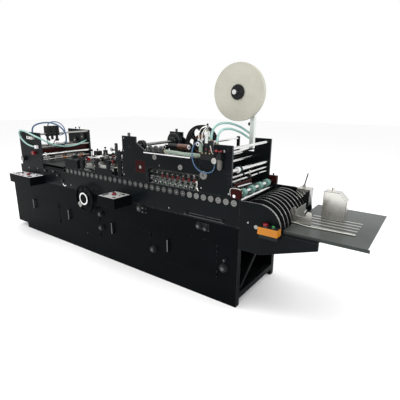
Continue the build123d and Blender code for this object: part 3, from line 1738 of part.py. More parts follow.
# Equipment in the cabinet: gearbox under the deck with its motor, vacuum pump, electrical box
with BuildPart() as cabinet_equipment:
    gearbox_middle_y = gearbox_front_y + gearbox_depth / 2
    gearbox_low = panel_top - gearbox_height
    slab(
        wheel_x - gearbox_width / 2,
        wheel_x + gearbox_width / 2,
        gearbox_front_y,
        gearbox_front_y + gearbox_depth,
        gearbox_low,
        panel_top,
    )
    bore = wheel_shaft_radius + bore_clearance
    bore_end = shaft_end_y + face_clearance
    round_y(wheel_x, wheel_height, bore, gearbox_front_y, bore_end, Mode.SUBTRACT)
    round_z(wheel_x, gearbox_middle_y, motor_radius, gearbox_low - motor_length, gearbox_low)
    pump_floor = toe_height + frame_bar
    pump_middle = pump_floor + pump_foot_height + pump_radius
    round_x(0, pump_middle, pump_radius, pump_x - pump_length / 2, pump_x + pump_length / 2)
    slab(
        pump_x - pump_length / 2,
        pump_x + pump_length / 2,
        -pump_foot_width / 2,
        pump_foot_width / 2,
        pump_floor,
        pump_middle,
    )
    electric_back = back_y - panel_sheet
    slab(
        electric_left,
        electric_left + electric_width,
        electric_back - electric_depth,
        electric_back,
        electric_bottom,
        electric_bottom + electric_height,
    )
cabinet_equipment.part.label = "cabinet_equipment"
export_step(cabinet_equipment.part, "parts/cabinet_equipment.step")

# Air units: filter with lever and gauge, the manifolds with their valves, an air cylinder
strip_top = beam_top + beam_strip_height
strip_middle_y = front_y + beam_strip_width / 2
top_rod_x, top_rod_height = feeder_rods[0][:2]
low_rod_x, low_rod_height = feeder_rods[1][:2]
manifold_top = tape_shoulder + manifold_height
manifold_back = front_y + manifold_depth
manifold_pitch = manifold_length / len(manifold_valve_heights)
with BuildPart() as air_units:
    filter_low = filter_height - filter_body / 2
    filter_high = filter_height + filter_body / 2
    filter_y = front_y - filter_body / 2
    slab(
        filter_x - filter_body / 2,
        filter_x + filter_body / 2,
        front_y - filter_body,
        front_y,
        filter_low,
        filter_high,
    )
    round_z(filter_x, filter_y, filter_bowl_radius, filter_low - filter_bowl_length, filter_low)
    round_z(filter_x, filter_y, filter_knob_radius, filter_high, valve_lever_height)
    slab(
        filter_x - valve_lever_length,
        filter_x + valve_lever_thickness * 2,
        filter_y - valve_lever_thickness,
        filter_y + valve_lever_thickness,
        valve_lever_height,
        valve_lever_height + valve_lever_thickness,
    )
    round_y(gauge_x, gauge_height, gauge_radius, front_y - gauge_depth, front_y)
    manifold_right = manifold_left + manifold_length
    slab(manifold_left, manifold_right, front_y, manifold_back, tape_shoulder, manifold_top)
    for number, height in enumerate(manifold_valve_heights):
        x = manifold_left + manifold_pitch / 2 + manifold_pitch * number
        slab(
            x - manifold_valve_width / 2,
            x + manifold_valve_width / 2,
            front_y + manifold_depth / 8,
            manifold_back - manifold_depth / 8,
            manifold_top,
            manifold_top + height,
        )
    feeder_manifold_right = feeder_manifold_left + feeder_manifold_length
    feeder_manifold_top = feeder_manifold_bottom + feeder_manifold_height
    feeder_manifold_front = front_y - feeder_manifold_depth
    slab(
        feeder_manifold_left,
        feeder_manifold_right,
        feeder_manifold_front,
        front_y,
        feeder_manifold_bottom,
        feeder_manifold_top,
    )
    feeder_pitch = feeder_manifold_length / feeder_valve_count
    for number in range(feeder_valve_count):
        x = feeder_manifold_left + feeder_pitch / 2 + feeder_pitch * number
        slab(
            x - feeder_valve_width / 2,
            x + feeder_valve_width / 2,
            feeder_manifold_front,
            front_y,
            feeder_manifold_top,
            feeder_manifold_top + feeder_valve_height,
        )
    for x, z, size in feeder_fittings:
        slab(x, x + size, feeder_manifold_front, front_y, z, z + size)
    for y in hung_valve_stations:
        slab(
            top_rod_x - hung_valve_length / 2,
            top_rod_x + hung_valve_length / 2,
            y - hung_valve_width / 2,
            y + hung_valve_width / 2,
            top_rod_height - hung_valve_drop,
            top_rod_height + hung_valve_rise,
        )
    clamp_half = tube_clamp_size / 2
    slab(
        low_rod_x - clamp_half,
        low_rod_x + clamp_half,
        tube_clamp_y - clamp_half,
        tube_clamp_y + clamp_half,
        low_rod_height - clamp_half,
        low_rod_height + clamp_half,
    )
    for x, z, radius in feeder_rods[:2]:
        bore = radius + bore_clearance
        round_y(x, z, bore, tower_inner_front, tower_inner_back, Mode.SUBTRACT)
    cylinder_height = strip_top + air_cylinder_radius + skin_clearance
    round_x(strip_middle_y, cylinder_height, air_cylinder_radius, air_cylinder_left, air_cylinder_right)
air_units.part.label = "air_units"
export_step(air_units.part, "parts/air_units.step")


# Hoses: straight runs joined by arcs as large as the runs allow
def corner_radii(points):
    """The arc radius at each inner point of a route."""
    radii = []
    for before, here, after in zip(points, points[1:], points[2:]):
        run_in = Vector(*here) - Vector(*before)
        run_out = Vector(*after) - Vector(*here)
        half_turn = radians(run_in.get_angle(run_out)) / 2
        radii.append(corner_share * min(run_in.length, run_out.length) / tan(half_turn))
    return radii


def hose(points, radius):
    """A round tube along a route, checked by its volume."""
    radii = corner_radii(points)
    with BuildPart() as tube:
        with BuildLine() as route:
            FilletPolyline(*points, radius=radii)
        with BuildSketch(Plane(origin=route.line @ 0, z_dir=route.line % 0)):
            Circle(radius)
        sweep()
    run = sum(edge.length for edge in route.line.edges())
    expected = pi * radius**2 * run
    smallest = min(radii) / (2 * radius)
    print("hose radii", [round(r) for r in radii], "least in diameters", round(smallest, 1))
    print("hose volume over section times length", round(tube.part.volume / expected, 4))
    return tube


manifold_middle_y = front_y + manifold_depth / 2
fitting_x, fitting_low, fitting_size = feeder_fittings[1]
fitting_y = front_y - feeder_manifold_depth / 2 - face_clearance
fitting_z = fitting_low + fitting_size / 2
feeder_hose_route = (
    (fitting_x, fitting_y, fitting_z),
    (-1150, fitting_y, fitting_z),
    (-1262, -402, 1148),
    (-1336, -402, 1232),
    (-1318, -380, 1318),
    (-1250, -322, 1340),
    (-1165, -252, 1283),
    (-1100, -150, 1190),
    (-1040, -10, 1140),
    (-1018, 130, 1130),
    (-1018, tower_inner_back, 1130),
)
last_valve_x = manifold_right - manifold_pitch / 2
last_valve_top = manifold_top + manifold_valve_heights[-1]
tall_hose_route = (
    (last_valve_x, manifold_middle_y, last_valve_top),
    (last_valve_x, manifold_middle_y, 1412),
    (1432, -285, 1466),
    (1462, -170, 1466),
    (1490, -70, 1440),
    (1520, -18, 1408),
    (post_x, arm_back_y + post_depth / 2, 1366),
)
low_hose_route = (
    (1476, front_y + tower_thickness / 2, tape_tower_top),
    (1476, front_y + tower_thickness / 2, 1385),
    (1478, -300, 1424),
    (1490, -190, 1424),
    (1506, -85, 1396),
    (1528, -18, 1362),
    (post_x, arm_back_y + post_depth / 2, 1326),
)
beam_hose_end_z = tape_shoulder + manifold_height * beam_hose_share
beam_hose_route = (
    (air_cylinder_right, strip_middle_y, cylinder_height),
    (1010, strip_middle_y, cylinder_height),
    (1090, strip_middle_y + 14, 1212),
    (1170, strip_middle_y - 9, 1212),
    (1250, manifold_middle_y, beam_hose_end_z),
    (manifold_left, manifold_middle_y, beam_hose_end_z),
)
with BuildPart() as green_hoses:
    add(hose(feeder_hose_route, hose_radius).part)
    add(hose(tall_hose_route, thin_hose_radius).part)
    add(hose(low_hose_route, thin_hose_radius).part)
    add(hose(beam_hose_route, wide_hose_radius).part)
    add(tape_post.part, mode=Mode.SUBTRACT)
green_hoses.part.label = "green_hoses"
export_step(green_hoses.part, "parts/green_hoses.step")

gauge_y = front_y - gauge_depth / 2
gauge_tube_route = (
    (manifold_left + manifold_pitch / 2, manifold_middle_y, 1334),
    (1280, -356, 1322),
    (1262, -385, 1285),
    (1266, -404, 1215),
    (1284, -404, 1150),
    (1330, -404, 1104),
    (1395, -404, 1092),
    (1447, -398, 1100),
    (gauge_x, gauge_y, 1130),
    (gauge_x, gauge_y, gauge_height),
)
feeder_tube_route = (
    (-1110, front_y + tower_thickness / 2, feeder_tower_top),
    (-1110, front_y + tower_thickness / 2, 1320),
    (-1090, -320, 1372),
    (-1020, -250, 1402),
    (-930, -190, 1392),
    (-862, -140, 1335),
    (-843, -105, 1250),
    (-870, -85, 1170),
    (-905, tube_clamp_y, 1115),
    (low_rod_x + tube_clamp_size / 2, tube_clamp_y, 1108),
)
with BuildPart() as blue_tubes:
    add(hose(gauge_tube_route, tube_radius).part)
    add(hose(feeder_tube_route, tube_radius).part)
    add(air_units.part, mode=Mode.SUBTRACT)
blue_tubes.part.label = "blue_tubes"
export_step(blue_tubes.part, "parts/blue_tubes.step")
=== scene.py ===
import math
import bmesh
import bpy
import numpy as np
from mathutils import Matrix, Vector
from types import SimpleNamespace


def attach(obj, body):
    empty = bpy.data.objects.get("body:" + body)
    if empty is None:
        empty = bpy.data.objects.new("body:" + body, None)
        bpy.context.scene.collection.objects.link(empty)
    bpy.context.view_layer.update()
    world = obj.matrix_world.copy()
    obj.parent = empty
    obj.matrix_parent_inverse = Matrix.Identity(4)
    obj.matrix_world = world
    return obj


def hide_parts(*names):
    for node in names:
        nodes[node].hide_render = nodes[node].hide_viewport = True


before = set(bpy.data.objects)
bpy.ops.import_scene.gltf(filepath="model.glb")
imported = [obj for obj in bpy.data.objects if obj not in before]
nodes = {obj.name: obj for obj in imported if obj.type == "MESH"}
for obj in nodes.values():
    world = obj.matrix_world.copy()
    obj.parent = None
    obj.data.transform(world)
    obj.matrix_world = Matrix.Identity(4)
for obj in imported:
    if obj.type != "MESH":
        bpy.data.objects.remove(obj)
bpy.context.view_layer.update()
mm = 0.001
link = bpy.context.scene.collection.objects.link
print("frame loaded:", len(nodes), "nodes")

# ---- camera: stands to the right of the operator's side at eye height, turned left and down
cameraSettings = {"place": (2.847, -2.526, 1.606), "yaw": -35.2, "pitch": 15.88, "roll": 0.556,
                  "lens": 30.37, "sensor": 36, "far": 100}


def makeCamera(s):
    yaw, pitch, roll = (math.radians(s[key]) for key in ("yaw", "pitch", "roll"))
    ahead = Vector((math.sin(yaw) * math.cos(pitch), math.cos(yaw) * math.cos(pitch), -math.sin(pitch)))
    right = Vector((math.cos(yaw), -math.sin(yaw), 0))
    up = right.cross(ahead)
    rightTurned = right * math.cos(roll) + up * math.sin(roll)
    upTurned = up * math.cos(roll) - right * math.sin(roll)
    data = bpy.data.cameras.new("camera")
    data.lens, data.sensor_width, data.clip_end = s["lens"], s["sensor"], s["far"]
    camera = bpy.data.objects.new("camera", data)
    turn = Matrix((rightTurned, upTurned, -ahead)).transposed().to_4x4()
    camera.matrix_world = Matrix.Translation(Vector(s["place"])) @ turn
    link(camera)
    bpy.context.scene.camera = camera


makeCamera(cameraSettings)

# ---- shader groups shared by the finishes; ranges are of the noise or the turn that they cut
groupSettings = {"wearNoise": (0.35, 0.62), "wearTurn": (0.03, 0.22), "wearDetail": 4,
                 "dustUp": (0.6, 1), "dustNoise": (0.3, 0.75), "dustLeast": 0.2, "dustDetail": 6}


def newGroup(name, *inputs):
    group = bpy.data.node_groups.new(name, "ShaderNodeTree")
    for label in inputs:
        group.interface.new_socket(name=label, in_out="INPUT", socket_type="NodeSocketFloat")
    group.interface.new_socket(name="Mask", in_out="OUTPUT", socket_type="NodeSocketFloat")
    return group, group.nodes.new("NodeGroupInput").outputs, group.nodes.new("NodeGroupOutput").inputs[0]


def addNode(tree, kind, *values, **settings):
    # the first inputs take the values in turn: an output is linked, a number is set, None is passed over
    node = tree.nodes.new("ShaderNode" + kind)
    for key, value in settings.items():
        setattr(node, key, value)
    for socket, value in zip(node.inputs, values):
        if isinstance(value, bpy.types.NodeSocket):
            tree.links.new(value, socket)
        elif value is not None:
            socket.default_value = value
    return node.outputs


def product(tree, a, b, clamp=False):
    return addNode(tree, "Math", a, b, operation="MULTIPLY", use_clamp=clamp)[0]


def cut(tree, value, span, least=0, most=1):
    return addNode(tree, "MapRange", value, *span, least, most)[0]


def noise(tree, scale, detail):
    return addNode(tree, "TexNoise", addNode(tree, "TexCoord")["Object"], None, scale, detail)[0]


def makeGrainField():
    # noise on stretched object coordinates: brushing, casting grain, smears
    group, start, end = newGroup("grainField", "Across X", "Across Y", "Across Z", "Detail")
    scales = addNode(group, "CombineXYZ", *start[:3])[0]
    place = addNode(group, "VectorMath", addNode(group, "TexCoord")["Object"], scales, operation="MULTIPLY")[0]
    group.links.new(addNode(group, "TexNoise", place, None, 1, start["Detail"])[0], end)
    return group


def makeEdgeWear(s):
    # where a rounded normal turns away from the face's own there is an edge, broken up by noise
    group, start, end = newGroup("edgeWear", "Radius", "Amount", "Scale")
    rounded = addNode(group, "Bevel", start["Radius"], samples=4)[0]
    flat = addNode(group, "NewGeometry")["Normal"]
    dot = addNode(group, "VectorMath", rounded, flat, operation="DOT_PRODUCT")["Value"]
    away = addNode(group, "Math", 1, dot, operation="SUBTRACT")[0]
    broken = cut(group, noise(group, start["Scale"], s["wearDetail"]), s["wearNoise"])
    worn = product(group, cut(group, away, s["wearTurn"]), broken)
    group.links.new(product(group, worn, start["Amount"], True), end)
    return group


def makeDust(s):
    # settles on faces that look up, in soft patches
    group, start, end = newGroup("dustLayer", "Amount", "Scale")
    upward = addNode(group, "SeparateXYZ", addNode(group, "NewGeometry")["Normal"])[2]
    patches = cut(group, noise(group, start["Scale"], s["dustDetail"]), s["dustNoise"], s["dustLeast"])
    both = product(group, cut(group, upward, s["dustUp"]), patches)
    group.links.new(product(group, both, start["Amount"], True), end)
    return group


grainField, edgeWear, dustLayer = makeGrainField(), makeEdgeWear(groupSettings), makeDust(groupSettings)


def mixColour(tree, factor, a, b):
    # a colour enters as three numbers or as an output; the two colour sockets come after five others
    a, b = ((*value, 1) if isinstance(value, tuple) else value for value in (a, b))
    return addNode(tree, "Mix", factor, *[None] * 5, a, b, data_type="RGBA")[2]


# ---- finishes: colour, its second tone, worn edge, roughness range, metal share, grain scale (or one for
# each axis), bump depth in millimetres, wear, dust, clear coat and specular level; then the record's
# material slot that the finish paints and the CAD nodes that wear it all over
finishShared = {"metal": 0, "bump": 0.03, "wear": 0.5, "dust": 0, "coat": 0, "specular": 0.5, "grain": 90,
                "grainDetail": 4, "smears": (2.3, 3.1, 4.7, 5), "fineShare": 0.4, "blotches": (0.45, 0.95),
                "edgeRadius": 0.0022, "edgeScale": 55, "dustScale": 7, "dustColour": (0.30, 0.29, 0.27),
                "coatRough": 0.25, "roundRadius": 0.0012, "bumpStrength": 0.6}
finishes = {
    "cabinetPaint": dict(colour=(0.0015, 0.0021, 0.0026), tone=(0.0028, 0.0038, 0.0045), worn=(0.1, 0.106, 0.108),
        rough=(0.24, 0.38), grain=150, bump=0.1, wear=0.55, dust=0.015, specular=0.02, slot="cabinet_paint",
        nodes="base_frame front_panel cabinet_panels consoles"),
    "platePaint": dict(colour=(0.003, 0.004, 0.0047), tone=(0.005, 0.0065, 0.0075), worn=(0.17, 0.176, 0.18),
        rough=(0.26, 0.4), grain=220, bump=0.1, wear=0.6, dust=0.02, specular=0.055, slot="plate_paint",
        nodes="deck_plate"),
    "plateEdge": dict(colour=(0.018, 0.021, 0.0245), tone=(0.026, 0.03, 0.034), worn=(0.2, 0.205, 0.21),
        rough=(0.24, 0.38), metal=0.2, grain=220, bump=0.1, wear=0.6, dust=0.02, specular=0.2, slot="plate_paint"),
    "capEnamel": dict(colour=(0.165, 0.167, 0.16), tone=(0.115, 0.117, 0.11), worn=(0.33, 0.33, 0.31),
        rough=(0.3, 0.45), metal=0.35, grain=160, bump=0.06, slot="cap_grey"),
    # capPaintedShade: a darker copy of the cap enamel, painted shade for the caps of the roller row that lie in
    # shade
    "capPaintedShade": dict(colour=(0.062, 0.062, 0.061), tone=(0.04, 0.04, 0.04), worn=(0.15, 0.148, 0.145),
        rough=(0.3, 0.45), metal=0.35, grain=160, bump=0.06, specular=0.3, slot="cap_grey"),
    "rollerSteel": dict(colour=(0.34, 0.34, 0.33), tone=(0.22, 0.22, 0.21), worn=(0.62, 0.62, 0.6),
        rough=(0.2, 0.38), metal=1, grain=(12, 900, 12), wear=0.6, dust=0.03, slot="roller_steel"),
    "beltRubber": dict(colour=(0.04, 0.044, 0.038), tone=(0.024, 0.027, 0.023), worn=(0.09, 0.09, 0.085),
        rough=(0.58, 0.78), grain=500, bump=0.12, dust=0.06, specular=0.25, slot="belt_rubber",
        nodes="transport_belts"),
    "chromeBar": dict(colour=(0.8, 0.8, 0.79), tone=(0.66, 0.66, 0.65), worn=(0.9, 0.9, 0.9), rough=(0.08, 0.22),
        metal=1, grain=(30, 6, 30), bump=0.01, wear=0.1, slot="chrome_rod", nodes="exit_lower_roller"),
    "sheetSteel": dict(colour=(0.38, 0.38, 0.36), tone=(0.26, 0.26, 0.25), worn=(0.7, 0.7, 0.68),
        rough=(0.25, 0.45), metal=1, grain=(6, 500, 500), dust=0.04, slot="plate_steel",
        nodes="folding_ploughs glue_trough"),
    "brightSteel": dict(colour=(0.66, 0.65, 0.61), tone=(0.5, 0.49, 0.46), worn=(0.85, 0.84, 0.8),
        rough=(0.18, 0.38), metal=1, grain=(500, 500, 8), wear=0.4, dust=0.03, slot="bright_steel",
        nodes="back_stop stacker_plate"),
    "darkSteel": dict(colour=(0.13, 0.132, 0.134), tone=(0.075, 0.078, 0.08), worn=(0.45, 0.45, 0.44),
        rough=(0.18, 0.32), metal=1, grain=(30, 500, 30), wear=0.6, dust=0.03,
        nodes="separator_lever front_adjusting_screw back_adjusting_screw"),
    "springWire": dict(colour=(0.72, 0.27, 0.09), tone=(0.55, 0.2, 0.07), worn=(0.8, 0.5, 0.3), rough=(0.2, 0.35),
        metal=0.45, grain=300, bump=0.01, wear=0.2, slot="spring_copper", nodes="feeder_springs"),
    "maroonEnamel": dict(colour=(0.026, 0.003, 0.003), tone=(0.016, 0.0022, 0.002), worn=(0.1, 0.04, 0.035),
        rough=(0.28, 0.42), grain=120, bump=0.12, wear=0.6, dust=0.02, coat=0.02, specular=0.04,
        slot="maroon_block", nodes="bearing_blocks"),
    "ringRubber": dict(colour=(0.13, 0.25, 0.215), tone=(0.085, 0.17, 0.145), worn=(0.22, 0.31, 0.25),
        rough=(0.55, 0.72), grain=60, bump=0.1, wear=0.3, dust=0.06, specular=0.3, slot="ring_rubber"),
    "discBlack": dict(colour=(0.0045, 0.0052, 0.006), tone=(0.009, 0.0095, 0.0105), worn=(0.22, 0.22, 0.21),
        rough=(0.22, 0.38), grain=(40, 400, 40), wear=0.7, dust=0.02, coat=0.05, specular=0.15, slot="disc_black"),
    "tableGrey": dict(colour=(0.026, 0.034, 0.03), tone=(0.017, 0.023, 0.02), worn=(0.36, 0.38, 0.36),
        rough=(0.26, 0.38), metal=0.15, grain=260, bump=0.05, wear=0.7, dust=0.03, coat=0.06, specular=0.3,
        slot="table_grey"),
    "drawnAluminium": dict(colour=(0.72, 0.75, 0.73), tone=(0.62, 0.65, 0.63), worn=(0.85, 0.86, 0.85),
        rough=(0.25, 0.38), metal=0.7, grain=(600, 600, 6), bump=0.02, wear=0.3, slot="post_aluminium"),
    "blackSatin": dict(colour=(0.005, 0.0054, 0.006), tone=(0.01, 0.0105, 0.0115), worn=(0.085, 0.085, 0.085),
        rough=(0.26, 0.44), grain=260, bump=0.06, wear=0.55, dust=0.015, coat=0.03, specular=0.14,
        slot="black_parts", nodes="roll_hub rewind_reel door_hinges left_push_button middle_push_button"),
    "blackGloss": dict(colour=(0.004, 0.0042, 0.0048), tone=(0.008, 0.0085, 0.009), worn=(0.07, 0.07, 0.07),
        rough=(0.1, 0.2), grain=50, wear=0.2, dust=0.02, coat=0.15, specular=0.3, slot="black_parts"),
    "redGloss": dict(colour=(0.19, 0.006, 0.009), tone=(0.125, 0.0045, 0.006), worn=(0.32, 0.05, 0.045),
        rough=(0.2, 0.34), bump=0.04, dust=0.02, coat=0.2, specular=0.3, slot="red_plastic",
        nodes="left_stop_button middle_stop_button box_stop_button"),
    "deepRed": dict(colour=(0.075, 0.0035, 0.0045), tone=(0.045, 0.0025, 0.003), worn=(0.18, 0.03, 0.03),
        rough=(0.24, 0.38), bump=0.04, dust=0.02, coat=0.05, specular=0.15, slot="red_plastic"),
    "greenGloss": dict(colour=(0.02, 0.19, 0.045), tone=(0.015, 0.14, 0.034), worn=(0.08, 0.3, 0.11),
        rough=(0.2, 0.34), bump=0.04, wear=0.4, coat=0.35, specular=0.4, slot="green_plastic",
        nodes="box_start_button"),
    "orangeEnamel": dict(colour=(0.43, 0.157, 0.004), tone=(0.36, 0.125, 0.0035), worn=(0.62, 0.34, 0.1),
        rough=(0.3, 0.44), bump=0.08, dust=0.03, coat=0.08, specular=0.3, slot="orange_paint"),
    "castGrey": dict(colour=(0.016, 0.018, 0.0185), tone=(0.01, 0.0115, 0.012), worn=(0.16, 0.16, 0.155),
        rough=(0.42, 0.62), metal=0.1, grain=110, bump=0.25, wear=0.6, dust=0.04, specular=0.18,
        slot="equipment_grey", nodes="feed_table"),
    "whitePanel": dict(colour=(0.7, 0.69, 0.71), tone=(0.62, 0.61, 0.63), worn=(0.52, 0.51, 0.5), rough=(0.25, 0.4),
        grain=30, dust=0.04, coat=0.2),
    "panelGrey": dict(colour=(0.42, 0.42, 0.415), tone=(0.34, 0.34, 0.335), worn=(0.28, 0.28, 0.27),
        rough=(0.28, 0.42), grain=24, dust=0.05, coat=0.1),
    "mintHose": dict(colour=(0.226, 0.395, 0.361), tone=(0.165, 0.316, 0.283), worn=(0.42, 0.6, 0.55),
        rough=(0.14, 0.28), grain=70, bump=0.04, wear=0, dust=0.03, coat=0.5, slot="hose_green",
        nodes="green_hoses"),
    "paleHose": dict(colour=(0.16, 0.22, 0.17), tone=(0.11, 0.16, 0.12), worn=(0.5, 0.6, 0.5), rough=(0.2, 0.36),
        grain=60, bump=0.05, wear=0, dust=0.06, coat=0.4, slot="hose_green"),
    "blueTube": dict(colour=(0.009, 0.072, 0.17), tone=(0.006, 0.05, 0.12), worn=(0.2, 0.3, 0.6), rough=(0.16, 0.3),
        bump=0.02, wear=0, coat=0.5, slot="tube_blue", nodes="blue_tubes"),
    "tapeEdge": dict(colour=(0.41, 0.405, 0.34), tone=(0.33, 0.325, 0.27), worn=(0.56, 0.55, 0.49),
        rough=(0.45, 0.6), grain=14, bump=0.05, wear=0.2, coat=0.1, specular=0.4, slot="tape_roll",
        nodes="tape_roll"),
    "brassFitting": dict(colour=(0.42, 0.35, 0.23), tone=(0.3, 0.25, 0.16), worn=(0.8, 0.62, 0.34),
        rough=(0.2, 0.36), metal=1, grain=300, bump=0.02, wear=0.3),
    "copperCoil": dict(colour=(0.1, 0.036, 0.016), tone=(0.065, 0.024, 0.011), worn=(0.3, 0.14, 0.07),
        rough=(0.3, 0.45), metal=0.35, grain=200, bump=0.05, wear=0.3, dust=0.03, coat=0.2),
    "smokedBowl": dict(colour=(0.1, 0.092, 0.075), tone=(0.07, 0.064, 0.052), worn=(0.34, 0.31, 0.26),
        rough=(0.06, 0.14), grain=35, wear=0.1, dust=0.02, coat=0.6),
}


def makeFinish(name, own):
    s = {**finishShared, **own}
    material = bpy.data.materials.new(name)
    material.use_nodes = True
    tree = material.node_tree
    shader = tree.nodes["Principled BSDF"].inputs
    grain = s["grain"] if isinstance(s["grain"], tuple) else [s["grain"]] * 3
    fine = addNode(tree, "Group", *grain, s["grainDetail"], node_tree=grainField)[0]
    smears = addNode(tree, "Group", *s["smears"], node_tree=grainField)[0]
    edges = addNode(tree, "Group", s["edgeRadius"], s["wear"], s["edgeScale"], node_tree=edgeWear)[0]
    both = addNode(tree, "Math", product(tree, fine, s["fineShare"]), smears, operation="ADD")[0]
    blotch = cut(tree, both, s["blotches"])
    colour = mixColour(tree, edges, mixColour(tree, blotch, s["colour"], s["tone"]), s["worn"])
    if s["dust"]:
        dust = addNode(tree, "Group", s["dust"], s["dustScale"], node_tree=dustLayer)[0]
        colour = mixColour(tree, dust, colour, s["dustColour"])
    rounded = addNode(tree, "Bevel", s["roundRadius"], samples=4)[0]
    bump = tree.nodes.new("ShaderNodeBump")
    bump.inputs["Strength"].default_value = s["bumpStrength"]
    bump.inputs["Distance"].default_value = s["bump"] * mm
    tree.links.new(fine, bump.inputs["Height"])
    tree.links.new(rounded, bump.inputs["Normal"])
    for label, output in (("Base Color", colour), ("Roughness", cut(tree, blotch, (0, 1), *s["rough"])),
                          ("Normal", bump.outputs[0])):
        tree.links.new(output, shader[label])
    for label, value in (("Metallic", s["metal"]), ("Coat Weight", s["coat"]), ("Coat Roughness", s["coatRough"]),
                         ("Specular IOR Level", s["specular"])):
        shader[label].default_value = value
    return material


finish = {name: makeFinish(name, settings) for name, settings in finishes.items()}
print("finishes made:", len(finish))

# ---- mesh tools: every shape is a stack of rings, (rings, points, 3), in metres


def array(values):
    return np.asarray(values, float)


# for each axis: the two directions across it and its own
axes = {"x": array(((0, 1, 0), (0, 0, 1), (1, 0, 0))), "y": array(((0, 0, 1), (1, 0, 0), (0, 1, 0))), "z": np.eye(3)}


def turned(profile, centre, axis="z", count=24, lobes=0, depth=0.0):
    # surface of revolution: centre + r (cos a u + sin a v) + h w, with r swelling by depth cos(lobes a)
    u, v, w = axes[axis]
    radius, height = array(profile).T[..., None]
    angle = np.linspace(0, 2 * math.pi, count, endpoint=False)
    around = np.cos(angle)[:, None] * u + np.sin(angle)[:, None] * v
    swollen = radius * (1 + depth * np.cos(lobes * angle))
    return (swollen[..., None] * around + height[..., None] * w + array(centre)) * mm


def slabRings(low, high, axis="z", corner=3.0, edge=1.0, steps=4, widest=0.98, least=0.05):
    # rounded rectangle carried along the axis; its half size and corner shrink by edge at both ends
    u, v, w = axes[axis]
    low, high = array(low), array(high)
    centre, half = (low + high) / 2, (high - low) / 2
    halfU, halfV, halfW = abs(half @ u), abs(half @ v), abs(half @ w)
    corner = min(corner, halfU * widest, halfV * widest)
    turn = np.linspace(0, math.pi / 2, steps + 1)
    angle = np.concatenate([turn + quarter * math.pi / 2 for quarter in range(4)])
    signU = np.repeat([1, -1, -1, 1], steps + 1)
    signV = np.repeat([1, 1, -1, -1], steps + 1)
    rings = []
    for inset, along in ((edge, -halfW), (0, -halfW + edge), (0, halfW - edge), (edge, halfW)):
        reach, pulled = (max(corner - inset, least), corner) if corner > edge else (0, inset)
        across = signU * (halfU - pulled) + reach * np.cos(angle)
        other = signV * (halfV - pulled) + reach * np.sin(angle)
        rings.append(centre + across[:, None] * u + other[:, None] * v + along * w)
    return array(rings) * mm


def tubeRings(path, radius, sides=10):
    # a circle carried along a path; its frame is turned from one tangent to the next
    path = array(path)
    tangent = np.gradient(path, axis=0)
    tangent /= np.linalg.norm(tangent, axis=1)[:, None]
    side = np.cross(tangent[0], (0, 0, 1) if abs(tangent[0, 2]) < 0.9 else (1, 0, 0))
    first = []
    for direction in tangent:
        side = side - direction * (side @ direction)
        side /= np.linalg.norm(side)
        first.append(side)
    angle = np.linspace(0, 2 * math.pi, sides, endpoint=False)[:, None]
    circle = np.cos(angle) * array(first)[:, None] + np.sin(angle) * np.cross(tangent, first)[:, None]
    radius = np.broadcast_to(array(radius), len(path))
    return (path[:, None] + radius[:, None, None] * circle) * mm


def ringFaces(shape, offset):
    # quads between neighbouring rings, and a flat face on each end unless the last ring is the first again
    index = np.arange(shape.shape[0] * shape.shape[1]).reshape(shape.shape[:2]) + offset
    upper, after = index[:-1], index[1:]
    faces = np.stack([upper, np.roll(upper, -1, 1), np.roll(after, -1, 1), after], -1).reshape(-1, 4).tolist()
    if not np.allclose(shape[0], shape[-1]):
        faces += [index[0][::-1].tolist(), index[-1].tolist()]
    return faces


def piece(name, shapes, look, body="machine_frame", replaces=(), sharp=32):
    # shapes: stacks of rings, joined in one mesh with its normals turned outwards
    points, faces, offset = [], [], 0
    for shape in shapes:
        faces += ringFaces(shape, offset)
        points.append(shape.reshape(-1, 3))
        offset += len(points[-1])
    mesh = bpy.data.meshes.new(name)
    mesh.from_pydata(np.concatenate(points).tolist(), [], faces)
    work = bmesh.new()
    work.from_mesh(mesh)
    bmesh.ops.remove_doubles(work, verts=work.verts, dist=1e-6)
    bmesh.ops.recalc_face_normals(work, faces=work.faces)
    work.to_mesh(mesh)
    work.free()
    mesh.materials.append(finish[look])
    mesh.shade_smooth()
    mesh.set_sharp_from_angle(angle=math.radians(sharp))
    made = bpy.data.objects.new(name, mesh)
    link(made)
    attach(made, body)
    if replaces:
        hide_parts(*replaces)


# ---- the plain shapes that the small parts are put together from, all in millimetres


def disc(centre, radius, length, axis="y", edge=1.0, count=28, lobes=0, depth=0.0):
    # short cylinder about its centre, both rims eased by edge
    half = length / 2
    profile = ((radius - edge, -half), (radius, edge - half), (radius, half - edge), (radius - edge, half))
    return turned(profile, centre, axis, count, lobes, depth)


def nut(centre, radius, length, axis="y"):
    return disc(centre, radius, length, axis, 1, 6)


def ring(centre, outer, inner, length, axis="y", edge=1.0, count=32):
    # the disc with a bore: its profile is a closed loop
    half = length / 2
    profile = ((inner, -half), (outer - edge, -half), (outer, edge - half), (outer, half - edge),
               (outer - edge, half), (inner, half), (inner, -half))
    return turned(profile, centre, axis, count)


def ball(centre, radius, axis="z", squash=1.0, count=20, pole=0.06, rows=12):
    # r = R sin t, h = -R cos t, flattened along the axis
    t = np.linspace(pole, math.pi - pole, rows)
    return turned(np.column_stack([radius * np.sin(t), -radius * squash * np.cos(t)]), centre, axis, count)


def rod(start, end, radius, sides=14):
    # straight bar between two points with eased ends
    start, end = array(start), array(end)
    ease = min(1.0, radius / 3)
    step = ease * (end - start) / np.linalg.norm(end - start)
    return tubeRings((start, start + step, end - step, end), (radius - ease, radius, radius, radius - ease), sides)


